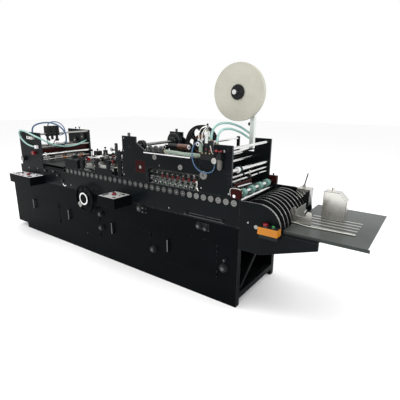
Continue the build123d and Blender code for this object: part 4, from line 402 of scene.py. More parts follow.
def bend(points, radius, sides=10, steps=9):
    # tube along a smooth line: each span is a cubic whose slopes point along its neighbours
    points = array(points)
    slope = np.gradient(points, axis=0)
    t = np.linspace(0, 1, steps, endpoint=False)[:, None]
    spans = [
        (2 * t**3 - 3 * t**2 + 1) * a + (t**3 - 2 * t**2 + t) * m + (3 * t**2 - 2 * t**3) * b + (t**3 - t**2) * n
        for a, b, m, n in zip(points[:-1], points[1:], slope[:-1], slope[1:])
    ]
    return tubeRings(np.concatenate([*spans, points[-1:]]), radius, sides)


def holedPlate(low, high, hole, radius, edge=0.5, count=48):
    # flat plate round one hole along Z: the circle of the hole joined to the rectangle, corners included
    low, high, middle = array(low), array(high), array(hole)
    corners = array([(x, y) for x in (low[0], high[0]) for y in (low[1], high[1])]) - middle
    circle = np.linspace(-math.pi, math.pi, count, endpoint=False)
    angle = np.unique([*circle, *np.arctan2(corners[:, 1], corners[:, 0])])
    way = np.column_stack([np.cos(angle), np.sin(angle)])
    with np.errstate(divide="ignore"):
        reach = np.min(np.abs(np.where(way > 0, high[:2] - middle, low[:2] - middle) / way), axis=1)
    rings = []
    for far, inset, z in ((0, 0, low[2]), (1, 0, low[2]), (1, 0, high[2] - edge), (1, edge, high[2]),
                          (0, 0, high[2]), (0, 0, low[2])):
        size = np.where(far, reach - inset, radius)[:, None]
        rings.append(np.column_stack([middle + way * size, np.full(len(angle), z)]))
    return array(rings) * mm


def repeated(shape, offsets):
    # copies of one shape, each moved by an offset in millimetres
    return list(shape + array(offsets)[:, None, None] * mm)


shapeMakers = {"discs": disc, "nuts": nut, "rings": ring, "balls": ball, "rods": rod, "bends": bend,
               "slabs": slabRings, "plates": holedPlate}


def makeParts(parts):
    # one piece for each entry: its shapes are listed under the names of the makers above
    for name, s in parts.items():
        shapes = [maker(*values) for kind, maker in shapeMakers.items() for values in s.get(kind, ())]
        piece(name, shapes, s["look"], s.get("body", "machine_frame"))


# ---- hoses and tubes: held in fittings at both ends, each on its own route
hoseShared = {"resolution": 12, "roundness": 5, "order": 3}
hoseRoutes = {
    "feederHose": dict(radius=10, finish="mintHose", route=(
        (-1040, -388.5, 1104), (-1150, -388.5, 1104), (-1262, -400, 1148), (-1345, -404, 1215), (-1335, -402, 1284),
        (-1223, -400, 1281), (-1061, -401, 1243), (-898, -396, 1207), (-862, -330, 1160), (-898, -220, 1116),
        (-905, -75, 1086), (-925, 80, 1090), (-950, 200, 1118), (-1018, 308, 1130))),
    "tallHose": dict(radius=9, finish="mintHose", route=(
        (1412.667, -352, 1336), (1412.667, -352, 1412), (1432, -285, 1466), (1462, -170, 1466), (1490, -70, 1440),
        (1520, -18, 1408), (1585, -4, 1366))),
    "lowHose": dict(radius=9, finish="mintHose", route=(
        (1476, -365, 1315), (1476, -365, 1385), (1478, -300, 1424), (1490, -190, 1424), (1506, -85, 1396),
        (1528, -18, 1362), (1585, -4, 1326))),
    "beamHose": dict(radius=15, finish="paleHose", route=(
        (945, -359, 1217.3), (1010, -359, 1217.3), (1090, -345, 1212), (1170, -368, 1212), (1250, -352, 1214),
        (1326, -352, 1214))),
    "gaugeTube": dict(radius=5, finish="blueTube", route=(
        (1329.8, -352, 1330), (1280, -356, 1322), (1262, -385, 1285), (1266, -404, 1215), (1284, -404, 1150),
        (1330, -404, 1104), (1395, -404, 1092), (1447, -398, 1100), (1470, -385, 1130), (1470, -385, 1171))),
    "feederTube": dict(radius=9, finish="blueTube", route=(
        (-1110, -365, 1266), (-1110, -365, 1318), (-1085, -320, 1360), (-1020, -250, 1380), (-945, -190, 1374),
        (-880, -135, 1330), (-850, -95, 1250), (-870, -85, 1176), (-905, -75, 1126), (-955, -75, 1108))),
    "valveLoop": dict(radius=6, finish="blueTube", route=(
        (-985, -236, 1336), (-985, -236, 1372), (-978, -165, 1390), (-958, -95, 1374), (-935, -50, 1310),
        (-928, -55, 1250), (-940, -100, 1228), (-957, -123, 1229))),
}


def splineLength(curve):
    bare = curve.copy()
    bare.bevel_depth = 0
    holder = bpy.data.objects.new("measure", bare)
    line = bpy.data.meshes.new_from_object(holder)
    points = array([vertex.co for vertex in line.vertices])
    bpy.data.objects.remove(holder)
    bpy.data.meshes.remove(line)
    return float(np.linalg.norm(np.diff(points, axis=0), axis=1).sum())


def makeHose(name, s):
    curve = bpy.data.curves.new(name, "CURVE")
    curve.dimensions = "3D"
    curve.resolution_u = s["resolution"]
    curve.bevel_depth = s["radius"] * mm
    curve.bevel_resolution = s["roundness"]
    curve.use_fill_caps = True
    spline = curve.splines.new("NURBS")
    route = array(s["route"]) * mm
    spline.points.add(len(route) - 1)
    spline.points.foreach_set("co", np.column_stack([route, np.ones(len(route))]).ravel())
    spline.order_u = s["order"]
    spline.use_endpoint_u = True
    curve.materials.append(finish[s["finish"]])
    hose = bpy.data.objects.new(name, curve)
    link(hose)
    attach(hose, "machine_frame")
    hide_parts("blue_tubes" if s["finish"] == "blueTube" else "green_hoses")
    length = splineLength(curve)
    print(name, "is", round(length, 3), "m long")


for name, settings in hoseRoutes.items():
    makeHose(name, {**hoseShared, **settings})
print("hoses and tubes laid")

# ---- finishes of the CAD pieces: one for the whole node, or a base and regions chosen by place and normal


def faceTable(mesh):
    # the middle of every face in millimetres as x, y, z and its normal as u, v, w
    table = {}
    for kind, names, unit in (("center", "xyz", mm), ("normal", "uvw", 1)):
        values = np.empty(len(mesh.polygons) * 3)
        mesh.polygons.foreach_get(kind, values)
        table.update(zip(names, values.reshape(-1, 3).T / unit))
    return SimpleNamespace(**table)


def radial(f, axis):
    # distance of each face from an axis along Y, given by its x and z
    return np.hypot(f.x - axis[0], f.z - axis[1])


def inBox(low, high):
    return lambda f: np.all([(side >= a) & (side <= b) for side, a, b in zip((f.x, f.y, f.z), low, high)], axis=0)


def endFaces(f):
    # the flat ends of a bar that come flush with the side plates, front and back
    return (np.abs(f.v) > 0.9) & ((f.y < -373) | (f.y > 325))


def rimFaces(f):
    # every face of an upright plate but its two broad ones
    return np.abs(f.v) < 0.3


wheelAxis, discAxis, guardAxis, creaseAxis = (-110, 640), (1835, 735), (1852, 740), (535, 1226)
plateDress = ("platePaint", ("plateEdge", rimFaces))
dressing = {
    **dict.fromkeys(("door_1", "door_2", "door_3", "door_4"),
                    ("cabinetPaint", ("darkSteel", lambda f: f.y < -384.5))),
    **dict.fromkeys(("front_side_plate", "back_side_plate", "feeder_tower_plates", "middle_tower_plates",
                     "tape_tower_plates"), plateDress),
    "button_box": ("orangeEnamel", ("blackSatin", lambda f: (f.z < 715.2) | (f.w > 0.7))),
    # the roller-row caps left of x 1190 and below z 920 take the darker copy: painted shade
    "bearing_caps": ("capEnamel", ("capPaintedShade", lambda f: (f.x < 1190) & (f.z < 920)),
                     ("castGrey", lambda f: (np.abs(f.v) > 0.9)
                      & ((np.abs(f.y + 378) < 0.3) | (np.abs(f.y - 330) < 0.3)))),
    "upper_beams": ("platePaint",
                    ("brightSteel", lambda f: (f.z > 1186.5) & (f.z < 1196.5) & ((f.y < -340) | (f.y > 290))),
                    ("blackSatin", inBox((700, 150, 0), (1110, 300, 2000)))),
    "transport_rollers": ("rollerSteel", ("chromeBar", lambda f: (f.y < -343) | (f.y > 295))),
    "tape_post": ("drawnAluminium", ("chromeBar", lambda f: (f.y < -41) & (radial(f, (1485, 1698)) < 18.5))),
    "exit_upper_roller": ("ringRubber", ("chromeBar", lambda f: radial(f, (1645, 941.5)) < 23.8)),
    "delivery_discs": ("discBlack",
                       ("rollerSteel", lambda f: (radial(f, discAxis) > 188) | (radial(f, discAxis) < 15.5))),
    "delivery_table": ("tableGrey", ("brightSteel", lambda f: f.z > 745.2), ("whitePanel", lambda f: f.x > 2599.5)),
    "handwheel": ("cabinetPaint",
                  ("chromeBar", lambda f: (np.abs(radial(f, wheelAxis) - 99) < 23) & (f.v < -0.5) & (f.x < -110)
                   & (f.z < 640) & (np.abs(f.x + 750 - f.z) < 26)),
                  ("rollerSteel", lambda f: (f.y > -425) & (radial(f, wheelAxis) < 14.5))),
    "panel_fittings": ("blackSatin", ("darkSteel", lambda f: f.y < -400.1),
                       ("castGrey", lambda f: radial(f, wheelAxis) < 44.5)),
    "crease_shaft": ("rollerSteel", ("platePaint", endFaces),
                     ("discBlack", lambda f: (radial(f, creaseAxis) > 15.5)
                      & ((f.y > 200) | (f.y < -190) & (f.y > -240)))),
    "press_roller": ("beltRubber", ("rollerSteel", lambda f: radial(f, (663.5, 1052)) < 47)),
    "feed_shaft": ("rollerSteel", ("beltRubber", lambda f: radial(f, (-1040, 962)) > 36), ("platePaint", endFaces)),
    "sucker_bar": ("rollerSteel", ("maroonEnamel", lambda f: f.z < 1024), ("platePaint", endFaces)),
    "red_clamps": ("redGloss", ("blackSatin", lambda f: (f.x > 700) | (f.z > 1062) & (f.x < 300))),
    "section_brackets": ("platePaint", ("sheetSteel", inBox((745, -341, 991), (1310, -309, 1020)))),
    "feeder_side_knob": ("blackSatin", ("rollerSteel", lambda f: (f.y > -375) | (f.y < -408))),
    "tie_rods": ("chromeBar",
                 ("sheetSteel", lambda f: (f.x < -900) & ((np.abs(f.z - 1098) < 12) | (f.z < 965) | (f.z > 1200))),
                 ("platePaint", endFaces)),
    "air_units": ("blackSatin",
                  ("redGloss", inBox((1470, -425, 1265.5), (1535, -374, 1275))),
                  ("capEnamel", inBox((1447, -397, 1169), (1493, -373, 1215))),
                  ("drawnAluminium", inBox((1363, -369, 1231), (1392, -334, 1406.5))),
                  ("smokedBowl", inBox((1500, -414, 1131), (1541, -375, 1206.2))),
                  ("drawnAluminium", inBox((-1191, -403, 1187), (-1059, -373, 1218.5))),
                  ("redGloss", inBox((-1116, -403, 1007), (-1074, -373, 1049))),
                  ("whitePanel", inBox((-1041, -403, 1084), (-1001, -373, 1124)))),
    "cabinet_equipment": ("castGrey", ("cabinetPaint", lambda f: f.x < -1000)),
    "separator_box": ("brightSteel", ("blackSatin", lambda f: f.z < 870),
                      ("panelGrey", lambda f: (f.z > 870) & (f.u > 0.7))),
    "delivery_side_plates": ("platePaint", ("rollerSteel", lambda f: (f.z > 760) & (np.abs(f.v) < 0.2)
                                            & (radial(f, guardAxis) > 170))),
    **{node: (look,) for look, s in finishes.items() for node in s.get("nodes", "").split()},
}
for node, (base, *regions) in dressing.items():
    mesh = nodes[node].data
    mesh.materials.clear()
    mesh.materials.append(finish[base])
    choice, faces = np.zeros(len(mesh.polygons), int), faceTable(mesh)
    for number, (look, rule) in enumerate(regions, 1):
        mesh.materials.append(finish[look])
        choice[rule(faces)] = number
    mesh.polygons.foreach_set("material_index", choice)
    mesh.update()
print("CAD pieces dressed")

# ---- tape roll: wound layers on the side faces, a slightly crowned outside, replaces its plain ring
rollShape = {"x": 1485, "z": 1698, "front": -94, "back": -54, "inner": 50.1, "outer": 222, "layers": 46,
             "rise": (0.15, 0.5), "uneven": 0.35, "seed": 7, "margin": 1.5, "crown": 0.8, "crownSteps": 7,
             "sides": 160}


def makeTapeRoll(s):
    # side faces: a small saw of layers, y = front + saw(r); the loop of the profile is closed
    radii = np.linspace(s["inner"], s["outer"] - s["margin"], s["layers"] * 2)
    saw = np.tile(s["rise"], s["layers"]) + np.random.default_rng(s["seed"]).uniform(0, s["uneven"], len(radii))
    frontFace = np.column_stack([radii, s["front"] + saw])
    backFace = np.column_stack([radii, s["back"] - saw])[::-1]
    crown = np.linspace(-1, 1, s["crownSteps"])
    middle, half = (s["front"] + s["back"]) / 2, (s["back"] - s["front"]) / 2
    outside = np.column_stack([s["outer"] - s["crown"] * crown**2, middle + crown * (half - 1)])
    profile = np.concatenate([frontFace, outside, backFace, frontFace[:1]])
    wound = turned(profile, (s["x"], 0, s["z"]), "y", s["sides"])
    piece("tapeRoll", [wound], "tapeEdge", "tape_reel", ("tape_roll",))


makeTapeRoll(rollShape)
print("tape roll wound")

# ---- feeder springs: one wire each, closed at both ends, and the bored collars they rest on
springShape = {"x": -985, "z": 950, "places": (-60, 60, 180), "wire": 1.9, "pitch": 11, "turns": 6, "radius": 13.1,
               "steps": 24, "sides": 8, "collar": 8, "collarRadius": 16.1, "bore": 10.1, "gap": 1.4}


def makeSprings(s):
    # helix: x = R cos a, z = R sin a, y = pitch a / 2 pi
    coils, collars = [], []
    angle = np.linspace(0, 2 * math.pi * s["turns"], s["steps"] * s["turns"])
    away = (s["pitch"] * s["turns"] + s["collar"]) / 2 + s["gap"]
    for place in s["places"]:
        along = place + s["pitch"] * (angle / (2 * math.pi) - s["turns"] / 2)
        coil = np.column_stack([s["radius"] * np.cos(angle), along, s["radius"] * np.sin(angle)])
        coils.append(tubeRings(coil + (s["x"], 0, s["z"]), s["wire"], s["sides"]))
        collars += [ring((s["x"], place + side * away, s["z"]), s["collarRadius"], s["bore"], s["collar"], count=28)
                    for side in (-1, 1)]
    piece("springCoils", coils, "springWire", replaces=("feeder_springs",))
    piece("springCollars", collars, "brightSteel", replaces=("feeder_springs",))


makeSprings(springShape)
print("springs wound")

# ---- flat belts round the transport rollers, one loop at each station, replace their plain rings
beltShape = {"stations": (-240, -130, -24, 82, 192), "left": -455, "right": 1575, "height": 885,
             "inner": 28.3, "outer": 31.3, "width": 32, "ease": (0.5, 1), "steps": 17}


def makeBelts(s):
    # a flat section carried round a stadium: x = end + r cos a, z = height + r sin a
    half, outer, inner = s["width"] / 2, s["outer"], s["inner"]
    across, along = s["ease"]
    r, y = array(((inner, -half), (outer - across, -half), (outer, along - half),
                  (outer, half - along), (outer - across, half), (inner, half))).T
    turn = np.linspace(-math.pi / 2, math.pi / 2, s["steps"])
    angle = np.concatenate([turn, turn + math.pi, turn[:1]])[:, None]
    end = np.repeat((s["right"], s["left"], s["right"]), (s["steps"], s["steps"], 1))[:, None]
    x, z = end + r * np.cos(angle), s["height"] + r * np.sin(angle)
    loop = np.stack([x, np.broadcast_to(y, x.shape), z], -1) * mm
    loops = repeated(loop, [(0, place, 0) for place in s["stations"]])
    piece("transportLoops", loops, "beltRubber", replaces=("transport_belts",))


makeBelts(beltShape)

# ---- caps of the roller row: three screws and a shaft end on each, front and back; heads are r against depth
capShape = {"left": -455, "pitch": 70, "count": 31, "height": 885, "faces": ((-381, -1), (333, 1)), "circle": 17.8,
            "screw": (2.9, ((1, -0.2), (1, 1.1), (0.72, 1.8), (0.42, 1.9), (0.38, 0.7))),
            "end": (6.4, ((1, -3.2), (1, -1.2), (0.8, -0.6), (0.3, -0.5), (0.24, -1.4)))}


def makeCapDetails(s):
    # the circle holds three screws, 120 degrees apart
    stations = s["left"] + s["pitch"] * np.arange(s["count"])
    turns = np.radians(90 + 120 * np.arange(3))
    circles = [(x + s["circle"] * math.cos(a), 0, s["circle"] * math.sin(a)) for x in stations for a in turns]
    middles = [(x, 0, 0) for x in stations]
    for name, look, head, sides, places in (("capScrews", "darkSteel", s["screw"], 8, circles),
                                            ("rollerEnds", "rollerSteel", s["end"], 12, middles)):
        shapes = []
        for face, side in s["faces"]:
            profile = array(head[1]) * (head[0], side)
            shapes += repeated(turned(profile, (0, face, s["height"]), "y", sides), places)
        piece(name, shapes, look)


makeCapDetails(capShape)

capParts = {
    "bigCaps": dict(look="capEnamel", rings=[
        ((1363, -382.5, 1066), 33, 13, 4, "y", 1.2, 40), ((1129, -382, 1102), 21, 8, 3),
        ((846, -382, 1159), 21, 8, 3)]),
    "bigCapCentres": dict(look="darkSteel", discs=[
        ((1363, -382, 1066), 12.6, 5, "y", 1.5, 24), ((1129, -382, 1102), 7.6, 4), ((846, -382, 1159), 7.6, 4),
        ((1129, -374.6, 1012), 5, 2)],
        nuts=[((897, -375.5, 1091), 8, 3)]),
}
makeParts(capParts)
print("belts and caps done")

# ---- consoles: pale panels round the buttons, rows of lamps and switches
leftLamps = [(-1350 + 30 * n, -404) for n in range(9)]
leftKeys = [(-1352 + 36 * n, -530) for n in range(5)]
consoleParts = {
    "consolePanels": dict(look="whitePanel", plates=[
        ((-1376, -556, 772), (-1169, -383, 773.2), (-1250, -469), 8),
        ((-1169, -556, 772), (-944, -383, 773.2), (-1088, -488), 8)]),
    "middlePanels": dict(look="panelGrey", plates=[
        ((309, -580, 772), (386, -383, 773.2), (357.5, -438.5), 8),
        ((386, -580, 772), (521, -383, 773.2), (415, -481.5), 8)]),
    "consoleBezels": dict(look="darkSteel", rings=[
        ((-1088, -488, 774.6), 24, 20.5, 2.8, "z"), ((-1250, -469, 774.6), 15.5, 12.5, 2.8, "z"),
        ((415, -481.5, 774.6), 24, 20.5, 2.8, "z"), ((357.5, -438.5, 774.6), 15.5, 12.5, 2.8, "z"),
        ((1925, -407, 771.4), 23, 20.5, 2.8, "z"), ((1985, -407, 771.4), 14.5, 12.5, 2.8, "z")]),
    "consoleSwitches": dict(look="blackSatin", slabs=[
        ((-1352, -500, 772.5), (-1290, -462, 777)), ((-1196, -440, 772.5), (-1140, -418, 777)),
        ((-1020, -545, 772.5), (-975, -505, 777)), ((330, -560, 772.5), (352, -528, 778)),
        ((330, -520, 772.5), (352, -488, 778)), ((462, -440, 772.5), (486, -408, 778)),
        ((474, -560, 772.5), (504, -540, 778))],
        discs=[((x, y, 776), 8, 7, "z", 1, 16) for x, y in leftLamps[::2] + leftKeys[::2]],
        rings=[((-1005, -430, 775), 17, 8, 4, "z", 1, 28)]),
    "consoleLamps": dict(look="redGloss", balls=[
        ((x, y, 775), 7, "z", 0.7) for x, y in leftLamps[1::4] + leftKeys[1::2]]
        + [((480, -478, 775), 8, "z", 0.7)],
        slabs=[((-1146, -545, 772.5), (-1118, -520, 777.5), "z", 4)]),
    "consoleGreens": dict(look="greenGloss", balls=[
        ((x, y, 775), 7, "z", 0.7) for x, y in leftLamps[3::4]] + [((436, -425, 775), 8, "z", 0.7)]),
}
makeParts(consoleParts)
print("consoles done")

# ---- gauge, filter bowl and lever on the tape tower's front plate
gaugeShape = {"centre": (1470, -396, 1192), "dial": (18.8, 1.4, "y", 0.3, 36), "dialLift": 0.4,
              "bezel": (22.5, 18.4, 6, "y", 1.4, 40), "bezelLift": 1.5, "hub": (2.6, 2, "y", 0.6, 14), "hubLift": 2,
              "marks": 13, "scale": (-45, 225), "markSpan": (14.5, 17.2), "markLift": 1.4, "markRadius": 0.5,
              "needle": 205, "needleSpan": (-4, 14), "needleLift": 2, "needleRadius": 0.8}


def makeGauge(s):
    # marks stand on a three-quarter circle: x = r cos a, z = r sin a; a lift is a distance towards the front
    x, y, z = s["centre"]

    def spoke(angle, span, lift, radius):
        a = math.radians(angle)
        return rod(*((x + r * math.cos(a), y - lift, z + r * math.sin(a)) for r in span), radius, 6)

    marks = [spoke(angle, s["markSpan"], s["markLift"], s["markRadius"])
             for angle in np.linspace(*s["scale"], s["marks"])]
    needle = spoke(s["needle"], s["needleSpan"], s["needleLift"], s["needleRadius"])
    piece("gaugeMarks", [*marks, needle, disc((x, y - s["hubLift"], z), *s["hub"])], "blackSatin")
    piece("gaugeDial", [disc((x, y - s["dialLift"], z), *s["dial"])], "panelGrey")
    piece("gaugeBezel", [ring((x, y - s["bezelLift"], z), *s["bezel"])], "brightSteel")


makeGauge(gaugeShape)
bars = [(1520 + 20 * math.cos(a), -394 + 20 * math.sin(a)) for a in np.radians(45 + 90 * np.arange(4))]
airParts = {
    "bowlGuard": dict(look="darkSteel", rods=[
        ((x, y, 1139), (x, y, 1206), 1.4, 8) for x, y in bars],
        rings=[((1520, -394, 1204), 21.6, 18.3, 8, "z"), ((1520, -394, 1140), 21.4, 17, 3, "z", 0.8)],
        discs=[((1520, -394, 1128), 6, 12, "z", 1.5, 16, 6, 0.08)]),
    "valveNuts": dict(look="brassFitting", nuts=[
        ((1412.7, -352, 1341), 12, 12, "z"), ((1476, -365, 1321), 12, 12, "z"), ((1329, -352, 1330), 8, 10, "x"),
        ((1470, -385, 1172), 8, 9, "z"), ((1292, -364, 1201), 9, 10, "z"), ((1322, -352, 1214), 17.5, 12, "x"),
        ((1377, -352, 1411), 11, 12, "z"), ((1345, -370.5, 1240), 7, 7), ((1378, -370.5, 1240), 7, 7),
        ((1412, -370.5, 1240), 7, 7), ((-1110, -365, 1222), 8, 10, "z"), ((-1045, -388.5, 1104), 13, 12, "x"),
        ((955, -359, 1217), 17.5, 14, "x")]),
    "windingCoil": dict(look="copperCoil", rings=[
        ((1303 + 5.2 * n, -352, 1358), 19 - 0.5 * (n % 2), 8, 5, "x", 2, 30) for n in range(5)]),
    "coilCore": dict(look="rollerSteel", rods=[
        ((1296, -352, 1358), (1337, -352, 1340), 7, 16), ((1300, -352, 1358), (1332, -352, 1358), 7.4, 16),
        ((1377, -352, 1404), (1377, -352, 1440), 6, 16)],
        discs=[((1377, -352, 1436), 11, 9, "z", 1.5, 20), ((1377, -352, 1446), 6, 14, "z", 2, 16)]),
    "paleCollars": dict(look="whitePanel", rings=[
        ((1299, -352, 1340), 13, 6, 10, "x"), ((1344, -369.5, 1345), 10, 4, 5), ((1378, -369.5, 1392), 9, 3, 5),
        ((-1216, -376.5, 1218), 12, 5, 6)],
        rods=[((1296, -352, 1340), (1332, -352, 1340), 5, 12)]),
    "valvePipes": dict(look="brightSteel", bends=[
        (((1350, -372, 1300), (1352, -391, 1340), (1362, -390, 1400), (1377, -362, 1438)), 4),
        (((1330, -369, 1322), (1318, -384, 1372), (1338, -378, 1424), (1372, -352, 1446)), 4.5),
        (((1412, -369, 1290), (1430, -388, 1300), (1440, -385, 1262), (1446, -374, 1240)), 4)],
        rings=[((1546, -377, 1270), 9, 4, 6)]),
    "valveSleeve": dict(look="blackSatin", slabs=[
        ((1360.5, -371.5, 1228), (1394.5, -332, 1316), "z", 4, 1.2),
        ((1397, -368, 1236), (1434, -334, 1300), "z", 4, 1.2)]),
    "valveTops": dict(look="blackSatin", balls=[((1377, -352, 1456), 9), ((1304, -352, 1384), 7)]),
    "valveGreens": dict(look="paleHose", slabs=[
        ((1322, -392, 1246), (1350, -367.5, 1304), "z", 6, 2), ((1391, -360, 1346), (1402, -344, 1366), "x")],
        discs=[((1336, -380, 1308), 9, 10, "z")]),
    "valveReds": dict(look="redGloss", discs=[
        ((1412, -370, 1262), 6, 5), ((-1216, -379, 1218), 4.8, 4), ((-1137, -382, 1022), 13, 17, "y", 2.5),
        ((-1156, -405, 1205), 7, 6), ((-1085, -405, 1205), 7, 6), ((1378, -370, 1270), 6, 5)],
        balls=[((1533, -400, 1270), 8, "y"), ((1490, -398, 1270), 11, "y", 0.8)]),
}
makeParts(airParts)

bellowsShape = {"left": 748, "right": 941, "y": -359, "floor": 1196.8, "low": 21.5, "high": 31, "humps": 3,
                "endShare": 0.55, "flat": 0.9, "rim": 1, "steps": 65, "sides": 28}


def makeBellows(s):
    # r = low + (high - low) sin^2, three humps along X; the sleeve lies on the beam, so its centre rises with r
    t = np.linspace(0, 1, s["steps"])
    swell = s["endShare"] + (1 - s["endShare"]) * np.sin(math.pi * t)
    r = s["low"] + (s["high"] - s["low"]) * np.sin(math.pi * s["humps"] * t) ** 2 * swell
    r[[0, -1]] = s["low"] - s["rim"]
    x, r = (s["left"] + (s["right"] - s["left"]) * t)[:, None], r[:, None]
    angle = np.linspace(0, 2 * math.pi, s["sides"], endpoint=False)
    y = s["y"] + r * np.sin(angle) * s["flat"]
    z = s["floor"] + r * (1 + np.cos(angle))
    piece("cylinderSleeve", [np.stack([np.broadcast_to(x, y.shape), y, z], -1) * mm], "blackGloss")


makeBellows(bellowsShape)
print("air pieces done")

# ---- upper section: guide rod's ends, counter drum on its bracket, red star knobs and the wheels they press
starShape = {"left": 800, "pitch": 58, "count": 9, "y": -330, "redFrom": 2,
             "knobHeight": 1030, "knob": (16.2, 22, "z", 2.5, 36, 6, 0.07), "topHeight": 1041,
             "top": (6, "z", 0.5, 14), "redPlace": (-8, -17, 1001), "red": (15, 14, "y", 2.5, 36, 6, 0.09),
             "screwPlace": (20, -14, 996), "screw": (8, 8, "y", 2, 20), "axle": 931.6, "forkReach": 8,
             "forkHalf": 5, "forkThick": 1.5, "forkTop": 993, "forkEase": (3, 0.6), "pinReach": 13, "pinRadius": 3,
             "stemLow": 985, "stemHigh": 1000, "stemRadius": 6, "wheel": (15, 3.2, 11), "tyre": (18, 14, 8, "y", 2)}


def makeStarRow(s):
    # knob: r = R (1 + d cos 6a) between two eased rims; below it a fork and a wheel on a pin. A red one
    # with its screw stands in front of each from redFrom on
    knobs, reds, forks, wheels, tyres = [], [], [], [], []
    y, z, half, thick, pin = (s[key] for key in ("y", "axle", "forkHalf", "forkThick", "pinReach"))
    for number, x in enumerate(s["left"] + s["pitch"] * np.arange(s["count"])):
        station = array((x, y, 0))
        knobs += [disc((x, y, s["knobHeight"]), *s["knob"]), ball((x, y, s["topHeight"]), *s["top"])]
        if number >= s["redFrom"]:
            reds += [disc(station + s["redPlace"], *s["red"]), disc(station + s["screwPlace"], *s["screw"])]
        forks += [slabRings((x - half, y + side - thick, z - half), (x + half, y + side + thick, s["forkTop"]),
                            "y", *s["forkEase"]) for side in (-s["forkReach"], s["forkReach"])]
        forks += [rod((x, y - pin, z), (x, y + pin, z), s["pinRadius"]),
                  rod((x, y, s["stemLow"]), (x, y, s["stemHigh"]), s["stemRadius"])]
        wheels.append(ring((x, y, z), *s["wheel"]))
        tyres.append(ring((x, y, z), *s["tyre"]))
    for name, shapes, look in (("starKnobs", knobs, "blackSatin"), ("redAdjusters", reds, "deepRed"),
                               ("pressForks", forks, "darkSteel"), ("pressWheels", wheels, "brightSteel"),
                               ("pressTyres", tyres, "ringRubber")):
        piece(name, shapes, look)


makeStarRow(starShape)
upperParts = {
    "guideCollars": dict(look="whitePanel", rings=[
        ((1300, -369, 1304), 16, 9.1, 9), ((1005, -100, 1230.5), 20, 11, 10, "x", 2),
        ((-977, -313, 1010), 24, 15.2, 12)]),
    "guideEnds": dict(look="blackSatin", discs=[
        ((1300, -373, 1304), 8, 5, "y", 1, 20), ((1006, -100, 1230.5), 10.6, 9, "x", 1.5, 20)],
        rods=[((776, -100, 1226), (891, -100, 1228.1), 24, 28)],
        slabs=[((868, -357, 1174), (892, -66, 1186), "z", 2), ((866, -122, 1185), (894, -78, 1204), "z", 4, 1.5)]),
    "counterDrum": dict(look="copperCoil", rods=[((888, -100, 1228.1), (1001, -100, 1230.5), 26, 32)]),
    "linerCore": dict(look="copperCoil", body="rewind_reel", rings=[((920, 226, 1225), 94, 62, 35.4, "y", 1, 64)]),
    "beamTrim": dict(look="whitePanel", slabs=[((712, -376.4, 1185), (1226, -373.8, 1194), "x", 2, 0.6)]),
    "reelHub": dict(look="darkSteel", body="rewind_reel", rings=[
        ((920, 200.6, 1225), 30, 16, 4.5), ((920, 251.4, 1225), 30, 16, 4.5)]),
}
makeParts(upperParts)
print("upper section done")

